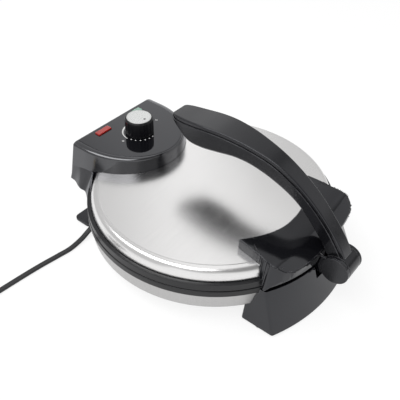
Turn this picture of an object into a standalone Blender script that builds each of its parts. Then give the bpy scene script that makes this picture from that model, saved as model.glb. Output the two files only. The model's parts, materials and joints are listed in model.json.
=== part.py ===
"""Electric roti maker: round base and lid with heated plates, rear control housing and front press lever.

Lengths are in metres and +Z is up. The model is built round the axis of the plates: the front is -Y, the
rear hinge is at +Y. An empty moves it so that the middle of its footprint on the table is the origin.
"""

import math

import bmesh
import bpy
import numpy as np
from mathutils import Matrix, Vector

# Clearances and walls
GAP = 0.0003
RUNNING_GAP = 0.0001
OVERRUN = 0.004
MERGE = 0.00001
SHEET = 0.0008
WALL = 0.0025
SCREW_RADIUS = 0.0015
SCREW_HEAD_RADIUS = 0.0033
SCREW_HEAD_HEIGHT = 0.0018
SCREW_HOLE_RADIUS = SCREW_RADIUS + GAP

# Base, from the table up
PAD_HEIGHT = 0.0015
PAD_RADIUS = 0.006
BASE_FLOOR_HEIGHT = 0.0222
BASE_FLOOR_THICKNESS = 0.0015
BASE_FLOOR_INSET = 0.0055
PAN_INSET = 0.0014
PAN_TAPER = 0.0019
PAN_DEPTH = 0.021
PAN_FLANGE_WIDTH = 0.0136
PAN_CORNER = 0.003
BASE_RING_STEP = 0.0006
BASE_RING_DEPTH = 0.0077
RING_CLEARANCE = 0.002
RING_CHAMFER = 0.001

# Lid
LID_RIM_WIDTH = 0.011
LID_RING_STEP = 0.0043
LID_RING_DEPTH = 0.0092
SKIRT_DEPTH_IN_RING = 0.0013
DOME_RISE = 0.0185
DOME_SHARES = (
    (0.0, 1.0), (0.30, 0.976), (0.507, 0.919), (0.72, 0.846), (0.926, 0.774),
    (0.957, 0.702), (0.976, 0.586), (0.990, 0.37), (1.0, 0.05),
)

# Heating plates and what lies under and over them
PLATE_RADIUS = 0.127
PLATE_THICKNESS = 0.007
PLATES_APART = 0.0026
ELEMENT_RADIUS = 0.004
ELEMENT_INSET = 0.045
ELEMENT_OPENING_SHARE = 0.16
REFLECTOR_INSET = 0.027
REFLECTOR_DROP = 0.0035
POST_RADIUS = 0.004
POST_INSET = 0.019
FUSE_RADIUS = 0.0025
FUSE_LENGTH = 0.020
FUSE_REACH = 0.040
TERMINAL_BLOCK_WIDTH = 0.030
TERMINAL_BLOCK_DEPTH = 0.012
TERMINAL_BLOCK_HEIGHT = 0.0078
TERMINAL_BLOCK_REACH = 0.060

# Control housing on the lid's rear
HOUSING_OVERHANG = 0.0131
HOUSING_STRAIGHT = 0.020
HOUSING_FRONT_REACH = 0.080
HOUSING_HALF_WIDTH = 0.067
HOUSING_SHOULDER_HEIGHT = 0.094
HOUSING_EDGE_RISE = 0.004
HOUSING_EDGE = 0.0050
HOUSING_FRONT_EDGE = 0.0015
HOUSING_DRAFT_SHARE = 0.33
HOUSING_CORNER = 0.004
HOUSING_FOOT_HEIGHT = 0.074
PANEL_RIM = 0.0008
PANEL_LEDGE = 0.0035
PANEL_THICKNESS = 0.0022
PANEL_PROUD = 0.0005
GUSSET_HEIGHT = 0.0205
GUSSET_OUTER_SHARES = (
    ((-1.210, 1.107), (-1.089, 1.107)), ((-1.224, 1.043), (-1.089, 1.043)),
    ((-1.283, 0.979), (-1.093, 0.979)), ((-1.314, 0.929), (-1.095, 0.929)),
    ((-1.314, 0.879), (-1.099, 0.886)), ((-1.358, 0.836), (-1.105, 0.864)),
    ((-1.492, 0.750), (-1.126, 0.854)), ((-1.563, 0.716), (-1.143, 0.846)),
)
GUSSET_INNER_SHARES = (
    ((-1.509, 0.706), (-1.128, 0.849)), ((-1.344, 0.779), (-1.120, 0.851)),
    ((-1.193, 0.833), (-1.095, 0.861)), ((-1.178, 0.893), (-1.082, 0.893)),
    ((-1.178, 1.000), (-1.082, 1.000)), ((-1.187, 1.098), (-1.082, 1.098)),
)

# Controls
KNOB_INSET = 0.046
KNOB_FOOT_RADIUS = 0.0175
KNOB_TOP_RADIUS = 0.0163
KNOB_HEIGHT = 0.0206
KNOB_LIFT = 0.0005
KNOB_FLUTES = 20
KNOB_FLUTE_DEPTH = 0.0003
KNOB_CAP_RADIUS = 0.015
KNOB_CAP_THICKNESS = 0.0011
KNOB_CAP_PROUD = 0.0005
KNOB_CAP_MARK_RADIUS = 0.0011
KNOB_CAP_MARK_REACH = 0.0092
KNOB_HOLLOW_RADIUS = 0.0085
KNOB_HOLLOW_HEIGHT = 0.0032
SHAFT_RADIUS = 0.003
SHAFT_GRIP = 0.012
SHAFT_DEPTH = 0.006
THERMOSTAT_WIDTH = 0.040
THERMOSTAT_DEPTH = 0.030
THERMOSTAT_HEIGHT = 0.015
THERMOSTAT_NECK_RADIUS = 0.0045
THERMOSTAT_NECK_HEIGHT = 0.0024
NUT_RADIUS = 0.0066
NUT_THICKNESS = 0.0018
LAMP_SPACING = 0.028
LAMP_CLEARANCE = 0.0007
LENS_WIDTH = 0.020
LENS_DEPTH = 0.008
LENS_PROUD = 0.0018
LENS_FLANGE = 0.0012
LENS_EDGE = 0.0006
NEON_RADIUS = 0.0022
NEON_LENGTH = 0.014

# Hinge at the rear
HINGE_INSET = 0.008
HINGE_HEIGHT = 0.046
HINGE_PIN_RADIUS = 0.002
HINGE_PIN_HALF_LENGTH = 0.0535
HINGE_BOSS_RADIUS = 0.005
HINGE_BOSS_INNER = 0.041
HINGE_BOSS_OUTER = 0.053
HINGE_KNUCKLE_RADIUS = 0.0045
HINGE_KNUCKLE_INNER = 0.030
HINGE_KNUCKLE_OUTER = 0.0395
HINGE_BAR_HEIGHT = 0.0125
HINGE_BAR_DEPTH = 0.022
HINGE_BAR_OVERHANG = 0.003
HINGE_PLATE_HEIGHT = 0.018
HINGE_ARM_HEIGHT = 0.014

# Saddle over the lid's front rim, with the ears that carry the lever
SADDLE_HALF_WIDTH = 0.081
SADDLE_RISE = 0.0367
SADDLE_CORNER_SHARE = 0.84
SADDLE_REAR_OVERLAP = 0.032
SADDLE_REAR_SAGITTA = 0.023
SADDLE_EDGE = 0.0010
SADDLE_SKIRT = 0.0005
SADDLE_SPLAY_TOP = 0.0385
SADDLE_STATIONS = 19
SADDLE_PROFILE_SHARES = (
    (0.560, 1.005, 0.973), (0.607, 1.000, 0.940), (0.714, 0.973, 0.864), (0.821, 0.918, 0.782),
    (0.907, 0.866, 0.718), (0.961, 0.831, 0.668), (1.009, 0.733, 0.590), (1.054, 0.619, 0.500),
    (1.079, 0.591, 0.462), (1.120, 0.591, 0.450),
)
SADDLE_ACROSS_SHARES = (
    (0.0, 0.0), (0.14, 0.0), (0.28, 0.11), (0.44, 0.36), (0.62, 0.67), (0.82, 0.95), (1.08, 1.0),
)
SADDLE_SIDE_SHARES = (
    ((0.870, 0.750), (0.870, 0.750)), ((0.883, 0.811), (0.879, 0.811)), ((0.951, 0.838), (0.883, 0.838)),
    ((0.965, 0.871), (0.881, 0.871)), ((1.006, 0.911), (0.878, 0.911)), ((1.000, 0.936), (0.873, 0.936)),
    ((0.969, 0.971), (0.858, 0.968)), ((0.914, 1.011), (0.815, 1.004)),
)
SADDLE_FRONT_SHARES = (
    ((0.815, 1.036), (0.753, 1.032)), ((0.654, 1.057), (0.648, 1.055)), ((0.432, 1.070), (0.432, 1.069)),
    ((0.220, 1.076), (0.220, 1.076)), ((0.0, 1.079), (0.0, 1.079)),
)
SADDLE_LIP_SHARES = (
    (0.914, 0.02), (0.950, 0.20), (1.000, 0.41), (1.300, 0.41),
)
EAR_INNER = 0.0105
EAR_OUTER = 0.0133
EAR_WEB_OVERLAP = 0.0085
EAR_WEB_RISE = 0.0095
EAR_WEB_DROP = 0.0130
SADDLE_SCREW_SPACING = 0.040
SADDLE_SCREW_INSET = 0.028
SADDLE_SCREW_GRIP = 0.0055

# Lever and its pivot
PIVOT_OVERHANG = 0.0255
PIVOT_HEIGHT = 0.0569
BARREL_RADIUS = 0.0158
BARREL_HALF_WIDTH = 0.0102
PIVOT_PIN_RADIUS = 0.003
PIVOT_CAP_THICKNESS = 0.002
LEVER_PAST_MIDDLE = 0.049
LEVER_RISE = 0.1051
LEVER_HALF_WIDTH = 0.0195
LEVER_TOP_THICKNESS = 0.0042
LEVER_TOP_INSET = 0.0008
LEVER_EDGE = 0.0026
LEVER_EDGE_SHARE = 0.8
LEVER_STATIONS = 24
LEVER_TROUGH_WALL = 0.0026
LEVER_TROUGH_SHARES = (0.10, 0.80)
LEVER_SHARES = (
    (1.000, 0.943, 1.002, 0.919, 0.78), (0.959, 0.952, 0.954, 0.838, 0.846),
    (0.877, 0.967, 0.877, 0.738, 0.949), (0.776, 0.990, 0.790, 0.734, 1.0),
    (0.685, 1.000, 0.694, 0.762, 0.964), (0.584, 0.986, 0.602, 0.786, 0.872),
    (0.493, 0.952, 0.520, 0.772, 0.769), (0.401, 0.900, 0.438, 0.724, 0.667),
    (0.310, 0.814, 0.360, 0.662, 0.605), (0.223, 0.700, 0.287, 0.586, 0.564),
    (0.145, 0.567, 0.223, 0.491, 0.538), (0.081, 0.434, 0.164, 0.367, 0.512),
    (0.036, 0.329, 0.118, 0.258, 0.508), (-0.005, 0.215, 0.081, 0.158, 0.508),
    (-0.033, 0.115, 0.040, 0.053, 0.508),
)
LEVER_SPLIT_SHARE = 0.45
LEVER_SCREW_SHARES = (0.84, 0.72)
LEVER_BOSS_RADIUS = 0.0042

# Front leg and rear stand
LEG_TOP_HEIGHT = 0.0525
LEG_SPLAY = 0.0088
LEG_TOP_HALF_WIDTH = 0.078
LEG_REAR_OVERLAP = 0.029
LEG_WALL = 0.0048
LEG_FLOOR_CORNER_SETBACK = 0.0017
LEG_FLOOR_FRONT_STEP = 0.0175
LEG_EDGE = 0.0009
LEG_NOTCH_HALF_WIDTH = 0.0165
LEG_NOTCH_HEIGHT = 0.036
CELL_ROOF = 0.003
CELL_WIDTH = 0.029
CELL_RIB = 0.003
LEG_CELL_DEPTH = 0.0235
LEG_FRONT_CELL_DEPTH = 0.011
LEG_REAR_CELLS = 5
LEG_FRONT_CELLS = 3
STAND_HALF_WIDTH = 0.092
STAND_INSET = 0.0015
STAND_SLAB_DEPTH = 0.025
STAND_SLAB_HEIGHT = 0.0045
STAND_CORNER = 0.006
STAND_BLOCK_HALF_WIDTH = 0.062
STAND_BLOCK_DEPTH = 0.042
STAND_CELL_WIDTH = 0.0265
STAND_CELLS = 4
LEG_PAD_INSET = 0.0078
STAND_PAD_SPACING = 0.082
LEG_SCREW_SPACING = 0.032
STAND_SCREW_SPACING = 0.0295
BASE_SCREW_INSET = 0.005
BASE_SCREW_LENGTH = 0.006

# Mains cord, gland and plug
CORD_WIDTH = 0.0066
CORD_THICKNESS = 0.0040
GLAND_LENGTH = 0.025
GLAND_WIDE_RADIUS = 0.0052
GLAND_NARROW_RADIUS = 0.0040
GLAND_NECK_RADIUS = 0.0040
GLAND_SETBACK = 0.0085
GLAND_HEIGHT = 0.009
CORD_ROUTE = (
    (-0.0883, 0.1085, 0.0090), (-0.0950, 0.1085, 0.0085), (-0.1040, 0.1080, 0.0060),
    (-0.1150, 0.1070, 0.0035), (-0.1330, 0.1063, 0.0021), (-0.1500, 0.1085, 0.0021),
    (-0.1730, 0.1120, 0.0021), (-0.1950, 0.1145, 0.0021), (-0.2170, 0.1165, 0.0021),
    (-0.2320, 0.1177, 0.0023), (-0.2450, 0.1184, 0.0030), (-0.2551, 0.1186, 0.0032),
)
TAIL_ROUTE = (
    (-0.2689, 0.1186, 0.0079), (-0.2770, 0.1188, 0.0078), (-0.2880, 0.1206, 0.0066),
    (-0.2990, 0.1252, 0.0043), (-0.3085, 0.1326, 0.0027), (-0.3155, 0.1423, 0.0030),
    (-0.3192, 0.1530, 0.0048), (-0.3200, 0.1620, 0.0062), (-0.3200, 0.1690, 0.0062),
)
COIL_CENTRE = (-0.262, 0.160)
COIL_OUTER_RADIUS = 0.0414
COIL_TURN_STEP = 0.0072
COIL_LAYER_STEP = 0.0047
COIL_LIFT = 0.0012
COIL_TURNS = 3
COIL_POINTS_PER_TURN = 24
COIL_CLIMB_TURNS = 0.5
CORD_POINT_SPACING = 0.0066
ROUTE_SAMPLES = 400
TIE_THICKNESS = 0.0008
TIE_WIDTH = 0.006
TIE_CLEARANCE = 0.0004
PLUG_LENGTH = 0.034
PLUG_WIDTH = 0.022
PLUG_HEIGHT = 0.0118
PLUG_NECK_WIDTH = 0.0095
PLUG_NECK_HEIGHT = 0.0070
PLUG_CORNER_SHARE = 0.35
PLUG_PROFILE_SHARES = ((0.0, 0.0), (0.30, 0.12), (0.48, 0.78), (0.62, 1.0), (1.0, 1.0))
PLUG_FLOOR_CLEARANCE = 0.0003
BLADE_LENGTH = 0.0165
BLADE_WIDTH = 0.0062
BLADE_THICKNESS = 0.0015
BLADE_SPACING = 0.0127
BLADE_DEPTH = 0.006

# Roundness
RING_STEPS = 60
ROD_SIDES = 16
SCREW_SIDES = 12
DISC_SIDES = 32
EDGE_STEPS = 1
SHARP_ANGLE = math.radians(35)

# Radii and reaches worked out from the plates' radius outwards
RING_INNER_RADIUS = PLATE_RADIUS + RING_CLEARANCE
LID_RADIUS = RING_INNER_RADIUS + LID_RIM_WIDTH
LID_RING_RADIUS = LID_RADIUS + LID_RING_STEP
BASE_RING_RADIUS = LID_RING_RADIUS + BASE_RING_STEP
PAN_RADIUS = BASE_RING_RADIUS - PAN_INSET
PAN_FLANGE_RADIUS = PAN_RADIUS - PAN_TAPER - PAN_FLANGE_WIDTH
BASE_FLOOR_RADIUS = PAN_RADIUS - BASE_FLOOR_INSET
BASE_SCREW_RING_RADIUS = BASE_FLOOR_RADIUS - BASE_SCREW_INSET
REFLECTOR_RADIUS = PLATE_RADIUS - REFLECTOR_INSET
ELEMENT_RING_RADIUS = PLATE_RADIUS - ELEMENT_INSET
POST_RING_RADIUS = PLATE_RADIUS - POST_INSET
HOUSING_REAR = BASE_RING_RADIUS + HOUSING_OVERHANG
HOUSING_CENTRE = HOUSING_REAR - HOUSING_STRAIGHT
KNOB_REACH = HOUSING_REAR - KNOB_INSET
LEDGE_REACH = HOUSING_REAR - HOUSING_FRONT_EDGE - PANEL_RIM - PANEL_LEDGE
LAMP_REACH = LEDGE_REACH - LAMP_CLEARANCE - LENS_FLANGE - LENS_DEPTH / 2
HINGE_REACH = HOUSING_REAR - HINGE_INSET
SADDLE_REAR_REACH = LID_RADIUS - SADDLE_REAR_OVERLAP
SADDLE_SCREW_REACH = LID_RADIUS - SADDLE_SCREW_INSET
PIVOT_REACH = LID_RING_RADIUS + PIVOT_OVERHANG
LEVER_REACH = PIVOT_REACH + LEVER_PAST_MIDDLE
LEG_TOP_RADIUS = BASE_RING_RADIUS + LEG_WALL
LEG_REAR_REACH = BASE_FLOOR_RADIUS - LEG_REAR_OVERLAP
LEG_FLOOR_CORNER_REACH = LEG_TOP_RADIUS - LEG_FLOOR_CORNER_SETBACK
LEG_FLOOR_FRONT_REACH = LEG_TOP_RADIUS + LEG_FLOOR_FRONT_STEP
STAND_REAR_REACH = PAN_RADIUS - STAND_INSET
STAND_FRONT_REACH = STAND_REAR_REACH - STAND_SLAB_DEPTH
STAND_BLOCK_FRONT_REACH = STAND_REAR_REACH - STAND_BLOCK_DEPTH
GLAND_REACH = STAND_BLOCK_FRONT_REACH + GLAND_SETBACK
EAR_WEB_REACH = LEG_TOP_RADIUS - EAR_WEB_OVERLAP

# Heights and places worked out from the sizes above
LEG_FOOT_HEIGHT = PAD_HEIGHT + GAP
LEG_FLOOR_HALF_WIDTH = LEG_TOP_HALF_WIDTH + LEG_SPLAY
LEG_PAD_SPACING = LEG_FLOOR_HALF_WIDTH - LEG_PAD_INSET
BASE_FLOOR_TOP = BASE_FLOOR_HEIGHT + BASE_FLOOR_THICKNESS
PAN_BOTTOM = BASE_FLOOR_TOP + GAP
PAN_TOP = PAN_BOTTOM + PAN_DEPTH
BASE_RING_BOTTOM = PAN_TOP + GAP
BASE_RING_TOP = BASE_RING_BOTTOM + BASE_RING_DEPTH
LID_BOTTOM = BASE_RING_TOP + GAP
LID_RING_TOP = LID_BOTTOM + LID_RING_DEPTH
SKIRT_BOTTOM = LID_RING_TOP - SKIRT_DEPTH_IN_RING
DOME_TOP = LID_RING_TOP + DOME_RISE
PLATE_MIDDLE = (BASE_RING_TOP + LID_BOTTOM) / 2
LOWER_PLATE_TOP = PLATE_MIDDLE - PLATES_APART / 2
LOWER_PLATE_BOTTOM = LOWER_PLATE_TOP - PLATE_THICKNESS
UPPER_PLATE_BOTTOM = PLATE_MIDDLE + PLATES_APART / 2
UPPER_PLATE_TOP = UPPER_PLATE_BOTTOM + PLATE_THICKNESS
LOWER_ELEMENT_HEIGHT = LOWER_PLATE_BOTTOM - GAP - ELEMENT_RADIUS
UPPER_ELEMENT_HEIGHT = UPPER_PLATE_TOP + GAP + ELEMENT_RADIUS
LOWER_REFLECTOR_TOP = LOWER_ELEMENT_HEIGHT - ELEMENT_RADIUS - REFLECTOR_DROP
UPPER_REFLECTOR_BOTTOM = UPPER_ELEMENT_HEIGHT + ELEMENT_RADIUS + GAP
HOUSING_TOP_HEIGHT = HOUSING_SHOULDER_HEIGHT + HOUSING_EDGE_RISE
PANEL_TOP = HOUSING_TOP_HEIGHT + PANEL_PROUD
PANEL_BOTTOM = PANEL_TOP - PANEL_THICKNESS
LEDGE_TOP = PANEL_BOTTOM - GAP
PANEL_HALF_WIDTH = HOUSING_HALF_WIDTH - HOUSING_EDGE - PANEL_RIM
KNOB_FOOT = PANEL_TOP + KNOB_LIFT
KNOB_TOP = KNOB_FOOT + KNOB_HEIGHT - KNOB_CAP_PROUD
PIVOT = Vector((0.0, -PIVOT_REACH, PIVOT_HEIGHT))
HINGE = Vector((0.0, HINGE_REACH, HINGE_HEIGHT))
KNOB_AXIS = Vector((0.0, KNOB_REACH, PANEL_TOP))
LEG_TOP_UNDER_BASE = BASE_FLOOR_HEIGHT - GAP
FRONT_REACH = PIVOT_REACH + BARREL_RADIUS
PLATE_AXIS_Y = (FRONT_REACH - HOUSING_REAR) / 2
QUARTERS = (0.25, 0.75, 1.25, 1.75)

# Finishes: colour, roughness, metallic
GLOSS_BLACK = ((0.018, 0.018, 0.020), 0.16, 0.0)
SATIN_BLACK = ((0.028, 0.028, 0.031), 0.34, 0.0)
BRUSHED_STEEL = ((0.62, 0.61, 0.60), 0.32, 1.0)
PLAIN_STEEL = ((0.50, 0.50, 0.50), 0.40, 1.0)
COATED_ALUMINIUM = ((0.035, 0.035, 0.037), 0.45, 0.2)
SHINY_ALUMINIUM = ((0.80, 0.80, 0.81), 0.25, 1.0)
SILVER_CAP = ((0.70, 0.71, 0.70), 0.35, 0.9)
RED_LENS = ((0.55, 0.03, 0.02), 0.20, 0.0)
GREEN_LENS = ((0.03, 0.30, 0.10), 0.20, 0.0)
LAMP_GLASS = ((0.85, 0.55, 0.40), 0.10, 0.0)
CERAMIC = ((0.80, 0.78, 0.72), 0.55, 0.0)
BRASS = ((0.72, 0.55, 0.28), 0.30, 1.0)
BLACK_RUBBER = ((0.030, 0.030, 0.030), 0.75, 0.0)
BLACK_CORD = ((0.022, 0.022, 0.024), 0.40, 0.0)


def clear_scene():
    for obj in list(bpy.data.objects):
        bpy.data.objects.remove(obj, do_unlink=True)


def new_collection(name):
    collection = bpy.data.collections.new(name)
    bpy.context.scene.collection.children.link(collection)
    return collection


clear_scene()
PIECES = new_collection("roti_maker")
CUTTERS = new_collection("roti_maker_cutters")


def new_axis(name, place, parent=None, parent_place=Vector()):
    """An empty on a joint's axis, at a place given from the plates' axis on the table."""
    empty = bpy.data.objects.new(name, None)
    PIECES.objects.link(empty)
    empty.parent = parent
    empty.location = Vector(place) - parent_place
    return empty


PLATE_AXIS = new_axis("plate_axis", (0.0, PLATE_AXIS_Y, 0.0))
LID_AXIS = new_axis("lid_hinge_axis", HINGE, PLATE_AXIS)
LEVER_AXIS = new_axis("lever_pivot_axis", PIVOT, LID_AXIS, HINGE)
DIAL_AXIS = new_axis("knob_axis", KNOB_AXIS, LID_AXIS, HINGE)
BASE = (PLATE_AXIS, Vector())
LID = (LID_AXIS, HINGE)
LEVER = (LEVER_AXIS, PIVOT)
DIAL = (DIAL_AXIS, KNOB_AXIS)


def finish_material(name, finish):
    colour, roughness, metallic = finish
    material = bpy.data.materials.new(name + "_finish")
    material.use_nodes = True
    material.diffuse_color = (*colour, 1.0)
    shader = material.node_tree.nodes["Principled BSDF"]
    shader.inputs["Base Color"].default_value = (*colour, 1.0)
    shader.inputs["Roughness"].default_value = roughness
    shader.inputs["Metallic"].default_value = metallic
    return material


def add_object(name, data, finish=None, on=BASE, place=(0.0, 0.0, 0.0)):
    """Links a piece with its finish, or a hidden cutter where no finish is given."""
    obj = bpy.data.objects.new(name, data)
    parent, parent_place = on
    obj.parent = parent
    obj.location = Vector(place) - parent_place
    if finish is None:
        CUTTERS.objects.link(obj)
        obj.hide_render = True
        obj.display_type = "WIRE"
    else:
        PIECES.objects.link(obj)
        obj.data.materials.append(finish_material(name, finish))
    return obj


def mesh_from(name, shape):
    bmesh.ops.recalc_face_normals(shape, faces=shape.faces)
    mesh = bpy.data.meshes.new(name)
    shape.to_mesh(mesh)
    shape.free()
    mesh.shade_smooth()
    mesh.set_sharp_from_angle(angle=SHARP_ANGLE)
    return mesh


def turned(name, profile, finish=None, on=BASE, closed=True, place=(0.0, 0.0, 0.0), steps=RING_STEPS):
    """A profile of radius and height, turned about the vertical; its outer side runs from top to bottom."""
    mesh = bpy.data.meshes.new(name)
    edges = [(index, index + 1) for index in range(len(profile) - 1)]
    if closed:
        edges.append((len(profile) - 1, 0))
    mesh.from_pydata([(radius, 0.0, height) for radius, height in profile], edges, [])
    obj = add_object(name, mesh, finish, on, place)
    screw = obj.modifiers.new("turn", "SCREW")
    screw.steps = steps
    screw.render_steps = steps
    screw.use_merge_vertices = True
    screw.merge_threshold = MERGE
    return obj


def disc(name, radius, low, high, finish=None, on=BASE, place=(0.0, 0.0, 0.0)):
    return turned(name, [(0.0, high), (radius, high), (radius, low), (0.0, low)], finish, on, False, place)


def rods(name, ends, radius, finish=None, on=BASE, sides=ROD_SIDES):
    """One or more round bars, each between two points."""
    shape = bmesh.new()
    for start, end in ends:
        along = Vector(end) - Vector(start)
        turn = along.to_track_quat("Z", "Y").to_matrix().to_4x4()
        middle = Matrix.Translation((Vector(start) + Vector(end)) / 2)
        bmesh.ops.create_cone(
            shape,
            cap_ends=True,
            segments=sides,
            radius1=radius,
            radius2=radius,
            depth=along.length,
            matrix=middle @ turn,
        )
    parent_place = on[1]
    bmesh.ops.translate(shape, verts=shape.verts, vec=-parent_place)
    return add_object(name, mesh_from(name, shape), finish, on, parent_place)


def boxes(name, corners, finish=None, on=BASE):
    """One or more boxes, each from its lowest to its highest corner."""
    shape = bmesh.new()
    for low, high in corners:
        size = Vector(high) - Vector(low)
        middle = Matrix.Translation((Vector(low) + Vector(high)) / 2)
        bmesh.ops.create_cube(shape, size=1.0, matrix=middle @ Matrix.Diagonal((*size, 1.0)))
    parent_place = on[1]
    bmesh.ops.translate(shape, verts=shape.verts, vec=-parent_place)
    return add_object(name, mesh_from(name, shape), finish, on, parent_place)


def loft(name, sections, finish=None, on=BASE):
    """A skin through sections with the same number of points, closed at both ends."""
    parent_place = on[1]
    shape = bmesh.new()
    rings = [[shape.verts.new(Vector(point) - parent_place) for point in section] for section in sections]
    for ring, following in zip(rings, rings[1:]):
        for index in range(len(ring)):
            beside = (index + 1) % len(ring)
            shape.faces.new((ring[index], ring[beside], following[beside], following[index]))
    shape.faces.new(list(reversed(rings[0])))
    shape.faces.new(rings[-1])
    return add_object(name, mesh_from(name, shape), finish, on, parent_place)


def prism(name, outline, low, high, finish=None, on=BASE):
    """A flat outline given in X and Y, raised from one height to another."""
    curve = bpy.data.curves.new(name, "CURVE")
    curve.dimensions = "2D"
    curve.fill_mode = "BOTH"
    curve.extrude = (high - low) / 2
    spline = curve.splines.new("POLY")
    spline.points.add(len(outline) - 1)
    for point, (x, y) in zip(spline.points, outline):
        point.co = (x, y, 0.0, 1.0)
    spline.use_cyclic_u = True
    flat = bpy.data.objects.new(name + "_outline", curve)
    CUTTERS.objects.link(flat)
    mesh = solid_mesh(name, flat)
    return add_object(name, mesh, finish, on, (0.0, 0.0, (low + high) / 2))


def solid_mesh(name, curve_object):
    """The mesh of a curve object with its caps welded; the curve object is removed."""
    evaluated = curve_object.evaluated_get(bpy.context.evaluated_depsgraph_get())
    mesh = bpy.data.meshes.new_from_object(evaluated)
    bpy.data.objects.remove(curve_object, do_unlink=True)
    shape = bmesh.new()
    shape.from_mesh(mesh)
    bpy.data.meshes.remove(mesh)
    bmesh.ops.remove_doubles(shape, verts=shape.verts, dist=MERGE)
    return mesh_from(name, shape)


def tube(name, points, radius, finish=None, on=BASE, resolution=2, flattened=1.0):
    """A round bar along points, with its height flattened to a share where one is given."""
    curve = bpy.data.curves.new(name, "CURVE")
    curve.dimensions = "3D"
    curve.bevel_depth = radius
    curve.bevel_resolution = resolution
    curve.use_fill_caps = True
    spline = curve.splines.new("POLY")
    spline.points.add(len(points) - 1)
    for point, place in zip(spline.points, points):
        point.co = (place[0], place[1], place[2] / flattened, 1.0)
    obj = add_object(name, curve, finish, on)
    obj.location = -on[1]
    obj.scale = (1.0, 1.0, flattened)
    return obj


def combine(obj, other, operation="DIFFERENCE", solver="EXACT"):
    modifier = obj.modifiers.new(operation.lower() + "_" + other.name, "BOOLEAN")
    modifier.operation = operation
    modifier.solver = solver
    modifier.object = other
    return obj


def join(obj, *others):
    for other in others:
        combine(obj, other, "UNION")
    return obj


def cut(obj, *others):
    for other in others:
        combine(obj, other)
    return obj


def round_edges(obj, width, steps=EDGE_STEPS, angle=SHARP_ANGLE):
    bevel = obj.modifiers.new("rounded_edges", "BEVEL")
    bevel.width = width
    bevel.segments = steps
    bevel.limit_method = "ANGLE"
    bevel.angle_limit = angle
    return obj


def on_circle(radius, angle_share, height):
    """A point on a circle round the plates' axis; the angle is a share of half a turn from +X."""
    angle = math.pi * angle_share
    return (radius * math.cos(angle), radius * math.sin(angle), height)


def smooth_rows(rows, count):
    """Rows of numbers resampled along a smooth curve that passes through each row."""
    table = np.array(rows, float)
    padded = np.vstack([2 * table[0] - table[1], table, 2 * table[-1] - table[-2]])
    places = np.linspace(0.0, len(table) - 1.0, count)
    result = []
    for place in places:
        span = min(int(place), len(table) - 2)
        share = place - span
        before, start, end, after = padded[span:span + 4]
        slope_start = (end - before) / 2
        slope_end = (after - start) / 2
        square = share * share
        cube = square * share
        result.append(
            (2 * cube - 3 * square + 1) * start + (cube - 2 * square + share) * slope_start
            + (3 * square - 2 * cube) * end + (cube - square) * slope_end
        )
    return result


def upright_screws(name, places, top, length, on=BASE):
    """Screws driven upwards: each shank rises from a round head whose flat side is at the given height."""
    for number, (x, y) in enumerate(places, 1):
        numbered = f"{name}_{number}"
        head_ends = ((x, y, top - SCREW_HEAD_HEIGHT), (x, y, top))
        shank_ends = ((x, y, top - SCREW_HEAD_HEIGHT / 2), (x, y, top + length))
        join(
            rods(numbered, [head_ends], SCREW_HEAD_RADIUS, PLAIN_STEEL, on, SCREW_SIDES),
            rods(numbered + "_shank", [shank_ends], SCREW_RADIUS, sides=SCREW_SIDES),
        )


def drill(name, obj, places, low, high, radius=SCREW_HOLE_RADIUS):
    holes = rods(name, [((x, y, low), (x, y, high)) for x, y in places], radius, sides=SCREW_SIDES)
    return cut(obj, holes)


def housing_outline(half_width, front_reach, rear, corner, height):
    """The housing's D-shaped plan: half an ellipse at the front, straight sides and rounded rear corners."""
    points = []
    arc_steps = 24
    for step in range(arc_steps + 1):
        angle = math.pi * step / arc_steps
        points.append((half_width * math.cos(angle), HOUSING_CENTRE - front_reach * math.sin(angle), height))
    for side in (-1.0, 1.0):
        corner_steps = 3
        for step in range(corner_steps + 1):
            angle = math.pi / 2 * step / corner_steps
            turn = angle if side < 0 else math.pi / 2 - angle
            x = half_width - corner + corner * math.cos(turn)
            y = rear - corner + corner * math.sin(turn)
            points.append((side * x, y, height))
    return points


def housing_half_width(height):
    drop = max(HOUSING_SHOULDER_HEIGHT - height, 0.0)
    return HOUSING_HALF_WIDTH + HOUSING_DRAFT_SHARE * drop


def housing_walls(low, high, grow=0.0, rear_grow=0.0):
    """Plans of the housing's drafted walls at two heights, moved out or drawn in all round."""
    sections = []
    for height in (low, high):
        half_width = housing_half_width(height) + grow
        front_reach = HOUSING_FRONT_REACH + grow
        rear = HOUSING_REAR + rear_grow
        sections.append(housing_outline(half_width, front_reach, rear, HOUSING_CORNER, height))
    return sections


def make_housing_solid(name):
    """The housing before it is hollowed: drafted walls under a rounded shoulder."""
    sections = housing_walls(LID_BOTTOM + GAP, HOUSING_SHOULDER_HEIGHT)
    shoulder_steps = 3
    for step in range(1, shoulder_steps + 1):
        angle = math.pi / 2 * step / shoulder_steps
        inward = 1.0 - math.cos(angle)
        height = HOUSING_SHOULDER_HEIGHT + HOUSING_EDGE_RISE * math.sin(angle)
        sections.append(
            housing_outline(
                HOUSING_HALF_WIDTH - HOUSING_EDGE * inward,
                HOUSING_FRONT_REACH - HOUSING_FRONT_EDGE * inward,
                HOUSING_REAR - HOUSING_FRONT_EDGE * inward,
                HOUSING_CORNER,
                height,
            )
        )
    return loft(name, sections)


def cover_profile(offset):
    """The lid cover's outer line from the middle to the skirt, moved out by an offset."""
    points = []
    for reach_share, rise_share in DOME_SHARES:
        points.append(((LID_RADIUS + offset) * reach_share, LID_RING_TOP + DOME_RISE * rise_share + offset))
    return points


def cover_height(radius):
    """The height of the lid cover's outer face at a radius."""
    reaches = [LID_RADIUS * reach_share for reach_share, _ in DOME_SHARES]
    heights = [LID_RING_TOP + DOME_RISE * rise_share for _, rise_share in DOME_SHARES]
    return float(np.interp(radius, reaches, heights))


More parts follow.
